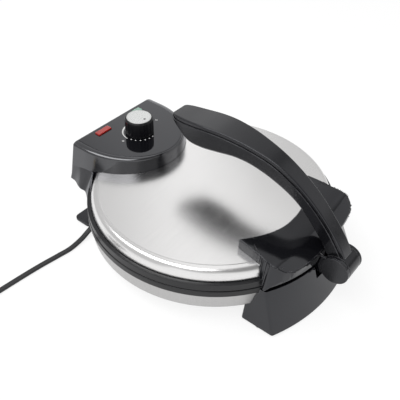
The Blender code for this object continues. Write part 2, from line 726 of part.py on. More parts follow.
def base_clearance(name):
    """What the leg and the stand are cut back by: the base's outer form with its gap."""
    side = PAN_RADIUS - PAN_TAPER + GAP
    return turned(
        name,
        [
            (0.0, LID_BOTTOM + OVERRUN), (BASE_RING_RADIUS + GAP, LID_BOTTOM + OVERRUN),
            (BASE_RING_RADIUS + GAP, PAN_TOP - GAP), (PAN_RADIUS + GAP, PAN_TOP - GAP),
            (side, PAN_BOTTOM + PAN_CORNER), (side - PAN_CORNER / 3, PAN_BOTTOM + PAN_CORNER / 3 - GAP),
            (side - PAN_CORNER, PAN_BOTTOM - GAP),
            (BASE_FLOOR_RADIUS + GAP, PAN_BOTTOM - GAP), (BASE_FLOOR_RADIUS + GAP, BASE_FLOOR_HEIGHT - GAP),
            (0.0, BASE_FLOOR_HEIGHT - GAP),
        ],
        closed=False,
    )


def make_base_shell():
    """Steel pan, black ring, floor plate and the screws that hold the floor to the pan's flange."""
    foot_radius = PAN_RADIUS - PAN_TAPER
    pan = turned(
        "base_pan",
        [
            (PAN_RADIUS, PAN_TOP), (foot_radius, PAN_BOTTOM + PAN_CORNER),
            (foot_radius - PAN_CORNER / 3, PAN_BOTTOM + PAN_CORNER / 3), (foot_radius - PAN_CORNER, PAN_BOTTOM),
            (PAN_FLANGE_RADIUS, PAN_BOTTOM), (PAN_FLANGE_RADIUS, PAN_BOTTOM + SHEET),
            (foot_radius - PAN_CORNER, PAN_BOTTOM + SHEET),
            (foot_radius - SHEET, PAN_BOTTOM + PAN_CORNER), (PAN_RADIUS - SHEET, PAN_TOP),
        ],
        BRUSHED_STEEL,
    )
    turned(
        "base_ring",
        [
            (BASE_RING_RADIUS - RING_CHAMFER, BASE_RING_TOP), (BASE_RING_RADIUS, BASE_RING_TOP - RING_CHAMFER),
            (BASE_RING_RADIUS, BASE_RING_BOTTOM), (RING_INNER_RADIUS, BASE_RING_BOTTOM),
            (RING_INNER_RADIUS, BASE_RING_TOP),
        ],
        GLOSS_BLACK,
    )
    floor = disc("base_floor", BASE_FLOOR_RADIUS, BASE_FLOOR_HEIGHT, BASE_FLOOR_TOP, PLAIN_STEEL)
    places = [on_circle(BASE_SCREW_RING_RADIUS, quarter, 0.0)[:2] for quarter in QUARTERS]
    drill("floor_screw_holes", floor, places, BASE_FLOOR_HEIGHT - OVERRUN, BASE_FLOOR_TOP + OVERRUN)
    drill("flange_screw_holes", pan, places, PAN_BOTTOM - OVERRUN, PAN_BOTTOM + SHEET + OVERRUN)
    upright_screws("base_screw", places, BASE_FLOOR_HEIGHT - GAP, BASE_SCREW_LENGTH)
    return floor


def make_element(name, height, on):
    """A tubular heater bent into an open ring that lies against its plate."""
    steps = 32
    start = math.pi * (1.5 + ELEMENT_OPENING_SHARE / 2)
    sweep = math.pi * (2.0 - ELEMENT_OPENING_SHARE)
    points = []
    for step in range(steps + 1):
        angle = start + sweep * step / steps
        points.append((ELEMENT_RING_RADIUS * math.cos(angle), ELEMENT_RING_RADIUS * math.sin(angle), height))
    return tube(name, points, ELEMENT_RADIUS, PLAIN_STEEL, on, resolution=1)


def make_reflector(name, low, on):
    hole = POST_RADIUS + GAP
    return turned(
        name,
        [(REFLECTOR_RADIUS, low + SHEET), (REFLECTOR_RADIUS, low), (hole, low), (hole, low + SHEET)],
        SHINY_ALUMINIUM,
        on,
    )


def post_ends(low, high):
    """The ends of a plate's four outer posts."""
    ring = POST_RING_RADIUS
    return [(on_circle(ring, quarter, low), on_circle(ring, quarter, high)) for quarter in QUARTERS]


def make_lower_plate_group():
    """Lower hotplate on its cast posts, with its heater, reflector, fuse and terminal block."""
    plate = disc("lower_plate", PLATE_RADIUS, LOWER_PLATE_BOTTOM, LOWER_PLATE_TOP, COATED_ALUMINIUM)
    make_element("lower_heating_element", LOWER_ELEMENT_HEIGHT, BASE)
    make_reflector("lower_reflector", LOWER_REFLECTOR_TOP - SHEET, BASE)
    low = BASE_FLOOR_TOP + GAP
    high = PLATE_MIDDLE - PLATES_APART
    ends = post_ends(low, high) + [((0.0, 0.0, low), (0.0, 0.0, high))]
    join(plate, rods("lower_plate_posts", ends, POST_RADIUS, sides=SCREW_SIDES))
    fuse_height = LOWER_PLATE_BOTTOM - GAP - FUSE_RADIUS
    fuse_half = FUSE_LENGTH / 2
    rods(
        "thermal_fuse",
        [((FUSE_REACH, -fuse_half, fuse_height), (FUSE_REACH, fuse_half, fuse_height))],
        FUSE_RADIUS,
        SHINY_ALUMINIUM,
    )
    half = TERMINAL_BLOCK_WIDTH / 2
    block = boxes(
        "terminal_block",
        [(
            (-half, TERMINAL_BLOCK_REACH, low),
            (half, TERMINAL_BLOCK_REACH + TERMINAL_BLOCK_DEPTH, low + TERMINAL_BLOCK_HEIGHT),
        )],
        CERAMIC,
    )
    round_edges(block, SHEET)


def leg_section(height):
    """The front leg's plan at a height: straight rear and sides, and a bowed front."""
    share = (height - LEG_FOOT_HEIGHT) / (LEG_TOP_HEIGHT - LEG_FOOT_HEIGHT)
    half_width = LEG_FLOOR_HALF_WIDTH + (LEG_TOP_HALF_WIDTH - LEG_FLOOR_HALF_WIDTH) * share
    top_corner = math.sqrt(LEG_TOP_RADIUS ** 2 - LEG_TOP_HALF_WIDTH ** 2)
    corner = LEG_FLOOR_CORNER_REACH + (top_corner - LEG_FLOOR_CORNER_REACH) * share
    front = LEG_FLOOR_FRONT_REACH + (LEG_TOP_RADIUS - LEG_FLOOR_FRONT_REACH) * share
    sagitta = front - corner
    radius = (half_width ** 2 + sagitta ** 2) / (2 * sagitta)
    sweep = math.asin(half_width / radius)
    points = [(-half_width, -LEG_REAR_REACH, height), (half_width, -LEG_REAR_REACH, height)]
    arc_steps = 16
    for step in range(arc_steps + 1):
        angle = sweep - 2 * sweep * step / arc_steps
        points.append((radius * math.sin(angle), -(front - radius + radius * math.cos(angle)), height))
    return points


def cell_boxes(count, width, rear, depth):
    """Open cells side by side, from below the foot up to the roof, that lighten a leg."""
    pitch = width + CELL_RIB
    roof = LEG_TOP_UNDER_BASE - CELL_ROOF
    cells = []
    for index in range(count):
        middle = (index - (count - 1) / 2) * pitch
        low_corner = (middle - width / 2, rear, LEG_FOOT_HEIGHT - OVERRUN)
        cells.append((low_corner, (middle + width / 2, rear + depth, roof)))
    return cells


def make_front_leg(floor):
    """Front leg under the pan, its rubber pads and the screws that hold it to the floor plate."""
    heights = [LEG_FOOT_HEIGHT, LEG_TOP_HEIGHT]
    leg = loft("front_leg", [leg_section(height) for height in heights], GLOSS_BLACK)
    round_edges(leg, LEG_EDGE)
    rear_start = -LEG_REAR_REACH - CELL_RIB - LEG_CELL_DEPTH
    rear_cells = cell_boxes(LEG_REAR_CELLS, CELL_WIDTH, rear_start, LEG_CELL_DEPTH)
    front_start = rear_start - CELL_RIB - LEG_FRONT_CELL_DEPTH
    front_cells = cell_boxes(LEG_FRONT_CELLS, CELL_WIDTH, front_start, LEG_FRONT_CELL_DEPTH)
    notch = boxes(
        "leg_notch",
        [(
            (-LEG_NOTCH_HALF_WIDTH, -LEG_FLOOR_FRONT_REACH, LEG_NOTCH_HEIGHT),
            (LEG_NOTCH_HALF_WIDTH, 0.0, LEG_TOP_HEIGHT + OVERRUN),
        )],
    )
    cut(leg, base_clearance("leg_base_clearance"), boxes("leg_cells", rear_cells + front_cells), notch)
    screw_reach = -LEG_REAR_REACH - CELL_RIB - LEG_CELL_DEPTH / 4
    places = [(-LEG_SCREW_SPACING, screw_reach), (LEG_SCREW_SPACING, screw_reach)]
    fasten_foot("leg_screw", leg, floor, places)
    pad_reach = -(LEG_FLOOR_CORNER_REACH + LEG_REAR_REACH) / 2
    return [(-LEG_PAD_SPACING, pad_reach), (LEG_PAD_SPACING, pad_reach)]


def fasten_foot(name, foot, floor, places):
    """Screws from a foot's cells up through its roof and the floor plate."""
    roof = LEG_TOP_UNDER_BASE - CELL_ROOF
    drill(name + "_foot_holes", foot, places, roof - OVERRUN, LEG_TOP_UNDER_BASE + OVERRUN)
    drill(name + "_floor_holes", floor, places, BASE_FLOOR_HEIGHT - OVERRUN, BASE_FLOOR_TOP + OVERRUN)
    upright_screws(name, places, roof - GAP, CELL_ROOF + BASE_FLOOR_THICKNESS + OVERRUN)


def rounded_rectangle(half_width, low, high, corner):
    """A rectangle across X, from one Y to another, with round corners."""
    points = []
    corner_steps = 4
    side = half_width - corner
    middles = ((side, high - corner), (-side, high - corner), (-side, low + corner), (side, low + corner))
    for quarter, (x, y) in enumerate(middles):
        for step in range(corner_steps + 1):
            angle = math.pi / 2 * (quarter + step / corner_steps)
            points.append((x + corner * math.cos(angle), y + corner * math.sin(angle)))
    return points


def make_rear_stand(floor):
    """Rear stand: a wide slab on the table and a block up to the floor plate, with the gland's hole."""
    slab = rounded_rectangle(STAND_HALF_WIDTH, STAND_FRONT_REACH, STAND_REAR_REACH, STAND_CORNER)
    stand = prism("rear_stand", slab, LEG_FOOT_HEIGHT, LEG_FOOT_HEIGHT + STAND_SLAB_HEIGHT, SATIN_BLACK)
    block = boxes(
        "stand_block",
        [(
            (-STAND_BLOCK_HALF_WIDTH, STAND_BLOCK_FRONT_REACH, LEG_FOOT_HEIGHT + GAP),
            (STAND_BLOCK_HALF_WIDTH, STAND_REAR_REACH - GAP, LEG_TOP_UNDER_BASE),
        )],
    )
    join(stand, block)
    depth = STAND_REAR_REACH - STAND_BLOCK_FRONT_REACH - 2 * CELL_RIB
    start = STAND_BLOCK_FRONT_REACH + CELL_RIB
    cells = boxes("stand_cells", cell_boxes(STAND_CELLS, STAND_CELL_WIDTH, start, depth))
    hole = rods(
        "gland_hole",
        [(
            (-STAND_BLOCK_HALF_WIDTH - OVERRUN, GLAND_REACH, GLAND_HEIGHT),
            (CELL_WIDTH - STAND_BLOCK_HALF_WIDTH, GLAND_REACH, GLAND_HEIGHT),
        )],
        GLAND_NECK_RADIUS + GAP,
    )
    cut(stand, cells, hole)
    screw_reach = (STAND_FRONT_REACH + STAND_BLOCK_FRONT_REACH + STAND_REAR_REACH) / 3
    places = [(-STAND_SCREW_SPACING / 2, screw_reach), (STAND_SCREW_SPACING / 2, screw_reach)]
    fasten_foot("stand_screw", stand, floor, places)
    pad_reach = (STAND_FRONT_REACH + STAND_REAR_REACH) / 2
    return [(-STAND_PAD_SPACING, pad_reach), (STAND_PAD_SPACING, pad_reach)]


def make_pads(front_places, rear_places):
    names = ("foot_front_left", "foot_front_right", "foot_rear_left", "foot_rear_right")
    for name, (x, y) in zip(names, front_places + rear_places):
        rods(name, [((x, y, 0.0), (x, y, PAD_HEIGHT))], PAD_RADIUS, BLACK_RUBBER)


def across_ends(axis, reach):
    """The ends of a bar along X through an axis."""
    return ((-reach, *axis[1:]), (reach, *axis[1:]))


def side_ends(axis, inner, outer):
    """The ends of two like bars along X through an axis, one on each side of the middle."""
    return [((side * inner, *axis[1:]), (side * outer, *axis[1:])) for side in (-1.0, 1.0)]


def make_base_hinge():
    """Bracket on the base's rear with two bosses, and the steel pin through them."""
    bar_top = HINGE_HEIGHT - HINGE_BOSS_RADIUS - 2 * GAP
    boss_middle = (HINGE_BOSS_INNER + HINGE_BOSS_OUTER) / 2
    cheek_half = (HINGE_BOSS_OUTER - HINGE_BOSS_INNER) / 2 - GAP
    cheek_low = bar_top - HINGE_BAR_HEIGHT / 2
    bracket = boxes(
        "base_hinge_bracket",
        [(
            (-HINGE_BOSS_OUTER, HINGE_REACH - HINGE_BAR_DEPTH, bar_top - HINGE_BAR_HEIGHT),
            (HINGE_BOSS_OUTER, HINGE_REACH + HINGE_BAR_OVERHANG, bar_top),
        )],
        SATIN_BLACK,
    )
    cheeks = boxes(
        "hinge_cheeks",
        [
            (
                (side * boss_middle - cheek_half, HINGE_REACH - HINGE_BAR_DEPTH, cheek_low),
                (side * boss_middle + cheek_half, HINGE_REACH + GAP, HINGE_HEIGHT + HINGE_BOSS_RADIUS / 2),
            )
            for side in (-1.0, 1.0)
        ],
    )
    bosses = rods("hinge_bosses", side_ends(HINGE, HINGE_BOSS_INNER, HINGE_BOSS_OUTER), HINGE_BOSS_RADIUS)
    join(bracket, cheeks, bosses)
    bore_radius = HINGE_PIN_RADIUS + RUNNING_GAP
    bore = rods("base_hinge_bore", [across_ends(HINGE, HINGE_PIN_HALF_LENGTH + OVERRUN)], bore_radius)
    cut(bracket, base_clearance("hinge_base_clearance"), bore)
    rods("hinge_pin", [across_ends(HINGE, HINGE_PIN_HALF_LENGTH)], HINGE_PIN_RADIUS, PLAIN_STEEL)


def make_lid_hinge():
    """Bracket inside the housing's rear wall, with two knuckles on the pin."""
    wall_face = HOUSING_REAR - WALL - GAP
    plate_low = LID_BOTTOM + GAP
    bracket = boxes(
        "lid_hinge_bracket",
        [(
            (-HINGE_KNUCKLE_OUTER, wall_face - WALL, plate_low),
            (HINGE_KNUCKLE_OUTER, wall_face, plate_low + HINGE_PLATE_HEIGHT),
        )],
        SATIN_BLACK,
        LID,
    )
    inner = HINGE_KNUCKLE_INNER + GAP
    outer = HINGE_KNUCKLE_OUTER - GAP
    arms = boxes(
        "hinge_arms",
        [
            (
                (min(side * inner, side * outer), HINGE_REACH - HINGE_PIN_RADIUS, HINGE_HEIGHT),
                (max(side * inner, side * outer), wall_face - GAP, HINGE_HEIGHT + HINGE_ARM_HEIGHT),
            )
            for side in (-1.0, 1.0)
        ],
    )
    ends = side_ends(HINGE, HINGE_KNUCKLE_INNER, HINGE_KNUCKLE_OUTER)
    join(bracket, arms, rods("hinge_knuckles", ends, HINGE_KNUCKLE_RADIUS))
    bore = across_ends(HINGE, HINGE_KNUCKLE_OUTER + OVERRUN)
    cut(bracket, rods("lid_hinge_bore", [bore], HINGE_PIN_RADIUS + RUNNING_GAP))


def make_lid_cover():
    """Brushed steel cover: a low dome with a crease, a rounded rim and a skirt, notched for the housing."""
    profile = cover_profile(0.0)
    profile += [(LID_RADIUS, SKIRT_BOTTOM), (LID_RADIUS - SHEET, SKIRT_BOTTOM)]
    for reach_share, rise_share in reversed(DOME_SHARES[:1] + DOME_SHARES[2:]):
        rim = SHEET * reach_share
        profile.append(((LID_RADIUS - rim) * reach_share, LID_RING_TOP + DOME_RISE * rise_share - SHEET))
    cover = turned("lid_cover", profile, BRUSHED_STEEL, LID, closed=False)
    return cut(cover, housing_clearance("cover_notch"))


def housing_clearance(name):
    """The housing's outer form with its gap, tall enough to notch the cover."""
    return loft(name, housing_walls(LID_BOTTOM - OVERRUN, HOUSING_SHOULDER_HEIGHT, GAP, OVERRUN))


def gusset_sections(side):
    """The flare from the housing's side wall down to the lid's ring, as plans from bottom to top."""
    shares = GUSSET_OUTER_SHARES + GUSSET_INNER_SHARES
    low = LID_BOTTOM + GAP / 2
    sections = []
    levels = 3
    for level in range(levels + 1):
        share = level / levels
        points = []
        for (low_x, low_y), (high_x, high_y) in shares:
            x = low_x + (high_x - low_x) * share
            y = low_y + (high_y - low_y) * share
            points.append((-side * HOUSING_HALF_WIDTH * x, LID_RADIUS * y, low + GUSSET_HEIGHT * share))
        sections.append(points)
    return sections


def make_lid_frame():
    """Glossy black moulding: the ring round the lid's edge, with the hollow control housing at the rear."""
    ring_chamfer = LID_RING_RADIUS - RING_CHAMFER
    frame = turned(
        "lid_frame",
        [
            (ring_chamfer, LID_RING_TOP), (LID_RING_RADIUS, LID_RING_TOP - RING_CHAMFER),
            (LID_RING_RADIUS, LID_BOTTOM), (RING_INNER_RADIUS, LID_BOTTOM), (RING_INNER_RADIUS, LID_RING_TOP),
        ],
        GLOSS_BLACK,
        LID,
    )
    shell = make_housing_solid("housing_solid")
    cavity = loft("housing_cavity", housing_walls(LID_BOTTOM - OVERRUN, LEDGE_TOP - WALL, -WALL, -WALL))
    high = HOUSING_TOP_HEIGHT + OVERRUN
    mouth = prism("housing_mouth", panel_outline(-PANEL_LEDGE), HOUSING_FOOT_HEIGHT, high)
    seat = prism("housing_seat", panel_outline(GAP), LEDGE_TOP, high)
    under = disc("housing_under", RING_INNER_RADIUS, LID_BOTTOM - OVERRUN, HOUSING_FOOT_HEIGHT)
    cut(shell, cavity, mouth, seat, under)
    sides = (("left", 1.0), ("right", -1.0))
    gussets = [loft("gusset_" + word, gusset_sections(side)) for word, side in sides]
    groove = turned(
        "skirt_groove",
        [
            (LID_RADIUS + GAP, DOME_TOP), (LID_RADIUS + GAP, SKIRT_BOTTOM - GAP),
            (LID_RADIUS - SHEET - GAP, SKIRT_BOTTOM - GAP), (LID_RADIUS - SHEET - GAP, DOME_TOP),
        ],
    )
    cut(groove, make_housing_solid("housing_keep"))
    for piece in (shell, *gussets):
        combine(frame, piece, "UNION", "MANIFOLD")
    combine(frame, groove, "DIFFERENCE", "MANIFOLD")
    return frame


def panel_outline(grow):
    """The control panel's plan, moved out or drawn in all round."""
    half_width = PANEL_HALF_WIDTH + grow
    front = HOUSING_FRONT_REACH - HOUSING_FRONT_EDGE - PANEL_RIM + grow
    rear = HOUSING_REAR - HOUSING_FRONT_EDGE - PANEL_RIM + grow
    return [point[:2] for point in housing_outline(half_width, front, rear, HOUSING_CORNER, 0.0)]


def make_control_panel():
    """Glossy panel in the housing's top, with the thermostat's hole and two lamp windows."""
    panel = prism("control_panel", panel_outline(0.0), PANEL_BOTTOM, PANEL_TOP, GLOSS_BLACK, LID)
    low = PANEL_BOTTOM - OVERRUN
    high = PANEL_TOP + OVERRUN
    windows = boxes(
        "lamp_windows",
        [
            (
                (side * LAMP_SPACING - LENS_WIDTH / 2 - GAP, LAMP_REACH - LENS_DEPTH / 2 - GAP, low),
                (side * LAMP_SPACING + LENS_WIDTH / 2 + GAP, LAMP_REACH + LENS_DEPTH / 2 + GAP, high),
            )
            for side in (-1.0, 1.0)
        ],
    )
    neck_ends = ((0.0, KNOB_REACH, low), (0.0, KNOB_REACH, high))
    neck_hole = rods("neck_hole", [neck_ends], THERMOSTAT_NECK_RADIUS + GAP)
    cut(panel, windows, neck_hole)


def make_lamps():
    """Two flanged lenses in the panel, each over its small neon lamp."""
    flange_top = PANEL_BOTTOM - GAP
    flange_low = flange_top - LENS_FLANGE
    neon_height = flange_low - GAP - NEON_RADIUS
    for word, side, finish in (("power", -1.0, RED_LENS), ("ready", 1.0, GREEN_LENS)):
        middle = side * LAMP_SPACING
        lens = boxes(
            word + "_lamp_lens",
            [(
                (middle - LENS_WIDTH / 2, LAMP_REACH - LENS_DEPTH / 2, flange_low + GAP),
                (middle + LENS_WIDTH / 2, LAMP_REACH + LENS_DEPTH / 2, PANEL_TOP + LENS_PROUD),
            )],
            finish,
            LID,
        )
        round_edges(lens, LENS_EDGE)
        flange = boxes(
            word + "_lens_flange",
            [(
                (middle - LENS_WIDTH / 2 - LENS_FLANGE, LAMP_REACH - LENS_DEPTH / 2 - LENS_FLANGE, flange_low),
                (middle + LENS_WIDTH / 2 + LENS_FLANGE, LAMP_REACH + LENS_DEPTH / 2 + LENS_FLANGE, flange_top),
            )],
        )
        join(lens, flange)
        half = NEON_LENGTH / 2
        rods(
            word + "_lamp",
            [((middle - half, LAMP_REACH, neon_height), (middle + half, LAMP_REACH, neon_height))],
            NEON_RADIUS,
            LAMP_GLASS,
            LID,
        )


def make_thermostat():
    """Thermostat under the panel, its neck through the panel and the nut that holds it."""
    top = PANEL_BOTTOM - GAP
    half = THERMOSTAT_WIDTH / 2
    depth = THERMOSTAT_DEPTH / 2
    body = boxes(
        "thermostat",
        [((-half, KNOB_REACH - depth, top - THERMOSTAT_HEIGHT), (half, KNOB_REACH + depth, top))],
        CERAMIC,
        LID,
    )
    neck_top = PANEL_TOP + THERMOSTAT_NECK_HEIGHT
    neck = rods(
        "thermostat_neck", [((0.0, KNOB_REACH, top - GAP), (0.0, KNOB_REACH, neck_top))], THERMOSTAT_NECK_RADIUS
    )
    shaft_hole = rods(
        "shaft_hole",
        [((0.0, KNOB_REACH, top - SHAFT_DEPTH - GAP), (0.0, KNOB_REACH, neck_top + OVERRUN))],
        SHAFT_RADIUS + RUNNING_GAP,
    )
    join(body, neck)
    cut(body, shaft_hole)
    nut_low = PANEL_TOP + GAP
    nut = rods(
        "thermostat_nut",
        [((0.0, KNOB_REACH, nut_low), (0.0, KNOB_REACH, nut_low + NUT_THICKNESS))],
        NUT_RADIUS,
        PLAIN_STEEL,
        LID,
        sides=6,
    )
    thread_ends = ((0.0, KNOB_REACH, PANEL_BOTTOM), (0.0, KNOB_REACH, neck_top + OVERRUN))
    cut(nut, rods("nut_thread", [thread_ends], THERMOSTAT_NECK_RADIUS + GAP))
    rods(
        "thermostat_shaft",
        [((0.0, KNOB_REACH, top - SHAFT_DEPTH), (0.0, KNOB_REACH, KNOB_FOOT + SHAFT_GRIP))],
        SHAFT_RADIUS,
        BRASS,
        DIAL,
    )


def knob_section(radius, height, depth):
    """The knob's fluted outline at a height."""
    points = []
    per_flute = 3
    count = KNOB_FLUTES * per_flute
    for step in range(count):
        dip = depth if step % per_flute == 0 else 0.0
        angle = 2 * math.pi * step / count
        reach = radius - dip
        points.append((reach * math.cos(angle), KNOB_REACH + reach * math.sin(angle), height))
    return points


def make_knob():
    """Fluted knob with a hollow foot, and its silver cap with a sunk mark."""
    edge = KNOB_CAP_THICKNESS
    knob = loft(
        "knob",
        [
            knob_section(KNOB_FOOT_RADIUS, KNOB_FOOT, KNOB_FLUTE_DEPTH),
            knob_section(KNOB_TOP_RADIUS + GAP, KNOB_TOP - edge, KNOB_FLUTE_DEPTH),
            knob_section(KNOB_TOP_RADIUS - GAP, KNOB_TOP, 0.0),
        ],
        GLOSS_BLACK,
        DIAL,
    )
    recess_low = KNOB_TOP + KNOB_CAP_PROUD - KNOB_CAP_THICKNESS - GAP
    hollows = rods(
        "knob_recess",
        [((0.0, KNOB_REACH, recess_low), (0.0, KNOB_REACH, KNOB_TOP + OVERRUN))],
        KNOB_CAP_RADIUS + GAP,
        sides=DISC_SIDES + SCREW_SIDES,
    )
    foot = rods(
        "knob_hollow",
        [((0.0, KNOB_REACH, KNOB_FOOT - OVERRUN), (0.0, KNOB_REACH, KNOB_FOOT + KNOB_HOLLOW_HEIGHT))],
        KNOB_HOLLOW_RADIUS,
    )
    bore = rods(
        "knob_bore",
        [((0.0, KNOB_REACH, KNOB_FOOT - OVERRUN), (0.0, KNOB_REACH, KNOB_FOOT + SHAFT_GRIP + GAP))],
        SHAFT_RADIUS + GAP,
    )
    cut(knob, hollows, foot, bore)
    cap = rods(
        "knob_cap",
        [((0.0, KNOB_REACH, recess_low + GAP), (0.0, KNOB_REACH, KNOB_TOP + KNOB_CAP_PROUD))],
        KNOB_CAP_RADIUS,
        SILVER_CAP,
        DIAL,
        sides=DISC_SIDES + SCREW_SIDES,
    )
    mark_y = KNOB_REACH - KNOB_CAP_MARK_REACH
    mark = rods(
        "cap_mark",
        [((0.0, mark_y, KNOB_TOP), (0.0, mark_y, KNOB_TOP + OVERRUN))],
        KNOB_CAP_MARK_RADIUS,
    )
    cut(cap, mark)


def make_upper_plate_group():
    """Upper hotplate that hangs from the cover by its cast posts, with its heater and reflector."""
    plate = disc("upper_plate", PLATE_RADIUS, UPPER_PLATE_BOTTOM, UPPER_PLATE_TOP, COATED_ALUMINIUM, LID)
    make_element("upper_heating_element", UPPER_ELEMENT_HEIGHT, LID)
    make_reflector("upper_reflector", UPPER_REFLECTOR_BOTTOM, LID)
    low = PLATE_MIDDLE + PLATES_APART
    high = cover_height(POST_RING_RADIUS + POST_RADIUS) - SHEET - GAP
    middle_high = cover_height(POST_RADIUS) - SHEET - GAP
    ends = post_ends(low, high) + [((0.0, 0.0, low), (0.0, 0.0, middle_high))]
    join(plate, rods("upper_plate_posts", ends, POST_RADIUS, sides=SCREW_SIDES))


def saddle_sections():
    """Upright slices of the saddle from rear to front: two raised wings with a hollow between them."""
    across = [(-share, blend) for share, blend in reversed(SADDLE_ACROSS_SHARES[1:])]
    across += SADDLE_ACROSS_SHARES
    low = LID_BOTTOM + SADDLE_SKIRT
    rows = smooth_rows(SADDLE_PROFILE_SHARES, SADDLE_STATIONS)
    sections = []
    for reach_share, wing_share, hollow_share in rows:
        y = -LID_RADIUS * reach_share
        wing = LID_BOTTOM + SADDLE_RISE * wing_share
        hollow = LID_BOTTOM + SADDLE_RISE * hollow_share
        points = [(SADDLE_HALF_WIDTH * share, y, hollow + (wing - hollow) * blend) for share, blend in across]
        points.append((SADDLE_HALF_WIDTH * across[-1][0], y, low - OVERRUN))
        points.append((SADDLE_HALF_WIDTH * across[0][0], y, low - OVERRUN))
        sections.append(points)
    return sections


def saddle_plan(level):
    """The saddle from above, at its foot (level 0) or over its top (level 1)."""
    corner = SADDLE_HALF_WIDTH * SADDLE_CORNER_SHARE
    radius = (corner ** 2 + SADDLE_REAR_SAGITTA ** 2) / (2 * SADDLE_REAR_SAGITTA)
    sweep = math.asin(corner / radius)
    height = LID_BOTTOM + SADDLE_SKIRT + SADDLE_SPLAY_TOP * level
    points = []
    arc_steps = 18
    for step in range(arc_steps + 1):
        angle = -sweep + 2 * sweep * step / arc_steps
        y = radius - SADDLE_REAR_REACH - radius * math.cos(angle)
        points.append((radius * math.sin(angle), y, height))
    right = []
    for levels in SADDLE_SIDE_SHARES + SADDLE_FRONT_SHARES:
        x, y = levels[level]
        right.append((SADDLE_HALF_WIDTH * x, -LID_RADIUS * y, height))
    points.extend(right)
    points.extend((-x, y, z) for x, y, z in reversed(right[:-1]))
    return points


def saddle_lip_clearance():
    """What is taken from under the saddle's front lip, down to a wall that lines up with the leg."""
    reach = SADDLE_HALF_WIDTH + OVERRUN
    sections = []
    for x in (-reach, reach):
        low = LID_BOTTOM - OVERRUN
        points = [(x, -LID_RADIUS * SADDLE_LIP_SHARES[0][0], low)]
        points += [(x, -LID_RADIUS * y, LID_BOTTOM + SADDLE_RISE * rise) for y, rise in SADDLE_LIP_SHARES]
        points.append((x, -LID_RADIUS * SADDLE_LIP_SHARES[-1][0], low))
        sections.append(points)
    clearance = loft("saddle_lip_clearance", sections)
    high = LID_BOTTOM + SADDLE_RISE
    return cut(clearance, disc("saddle_front_wall", LEG_TOP_RADIUS - GAP, LID_BOTTOM - 2 * OVERRUN, high))


def lid_clearance(name):
    """The lid's outer form with its gap, which the saddle wraps over."""
    profile = cover_profile(GAP)
    profile += [
        (LID_RADIUS + GAP, LID_RING_TOP + GAP), (LID_RING_RADIUS + GAP, LID_RING_TOP + GAP),
        (LID_RING_RADIUS + GAP, LID_BOTTOM - OVERRUN), (0.0, LID_BOTTOM - OVERRUN),
    ]
    return turned(name, profile, closed=False)


def make_saddle(cover):
    """Saddle clipped over the lid's front rim; its wings lift the lid and its ears hold the lever's pin."""
    saddle = loft("saddle", saddle_sections(), GLOSS_BLACK, LID)
    combine(saddle, loft("saddle_outline", [saddle_plan(0), saddle_plan(1)]), "INTERSECT")
    round_edges(saddle, SADDLE_EDGE)
    cut(saddle, saddle_lip_clearance(), lid_clearance("saddle_lid_clearance"))
    web_low = PIVOT_HEIGHT - EAR_WEB_DROP
    web_high = PIVOT_HEIGHT + EAR_WEB_RISE
    web_inner = EAR_INNER + GAP / 2
    web_outer = EAR_OUTER - GAP / 2
    webs = boxes(
        "ear_webs",
        [
            (
                (min(side * web_inner, side * web_outer), -PIVOT_REACH, web_low),
                (max(side * web_inner, side * web_outer), -EAR_WEB_REACH, web_high),
            )
            for side in (-1.0, 1.0)
        ],
    )
    cut(webs, lid_clearance("web_lid_clearance"), base_clearance("web_base_clearance"))
    disc_ends = side_ends(PIVOT, EAR_INNER, EAR_OUTER)
    join(webs, rods("ear_discs", disc_ends, BARREL_RADIUS - GAP, sides=DISC_SIDES))
    join(saddle, webs)
    cut(saddle, rods("ear_bore", [across_ends(PIVOT, EAR_OUTER + OVERRUN)], PIVOT_PIN_RADIUS + RUNNING_GAP))
    places = [(-SADDLE_SCREW_SPACING, -SADDLE_SCREW_REACH), (SADDLE_SCREW_SPACING, -SADDLE_SCREW_REACH)]
    reach = math.hypot(SADDLE_SCREW_SPACING, SADDLE_SCREW_REACH)
    under_cover = cover_height(reach + SCREW_HEAD_RADIUS) - SHEET - GAP
    drill("saddle_screw_holes", saddle, places, under_cover - OVERRUN, under_cover + SADDLE_SCREW_GRIP + GAP)
    drill("cover_screw_holes", cover, places, under_cover - OVERRUN, under_cover + SADDLE_SCREW_GRIP + GAP)
    upright_screws("saddle_screw", places, under_cover, SADDLE_SCREW_GRIP, LID)


def make_pivot():
    """The lever's pin through the saddle's ears, and the two round caps that hide its ends."""
    rods("pivot_pin", [across_ends(PIVOT, EAR_OUTER)], PIVOT_PIN_RADIUS, PLAIN_STEEL, LID)
    inner = EAR_OUTER + GAP
    outer = inner + PIVOT_CAP_THICKNESS
    for word, side in (("left", -1.0), ("right", 1.0)):
        cap = rods(
            "pivot_cap_" + word,
            [((side * inner, *PIVOT[1:]), (side * outer, *PIVOT[1:]))],
            BARREL_RADIUS,
            SATIN_BLACK,
            LID,
            sides=DISC_SIDES,
        )
        round_edges(cap, PIVOT_CAP_THICKNESS / 3)


def lever_rows():
    """The lever's stations: points on its top and bottom lines, and its half width there."""
    rows = []
    for top_reach, top_rise, low_reach, low_rise, width in smooth_rows(LEVER_SHARES, LEVER_STATIONS):
        top = PIVOT + Vector((0.0, LEVER_REACH * top_reach, LEVER_RISE * top_rise))
        low = PIVOT + Vector((0.0, LEVER_REACH * low_reach, LEVER_RISE * low_rise))
        rows.append((top, low, LEVER_HALF_WIDTH * width))
    return rows


def lever_split(top, low):
    """How deep the upper shell is at a station, with the direction from the bottom line to the top one."""
    depth = (top - low).length
    upward = (top - low).normalized()
    return min(LEVER_TOP_THICKNESS, LEVER_SPLIT_SHARE * depth), depth, upward


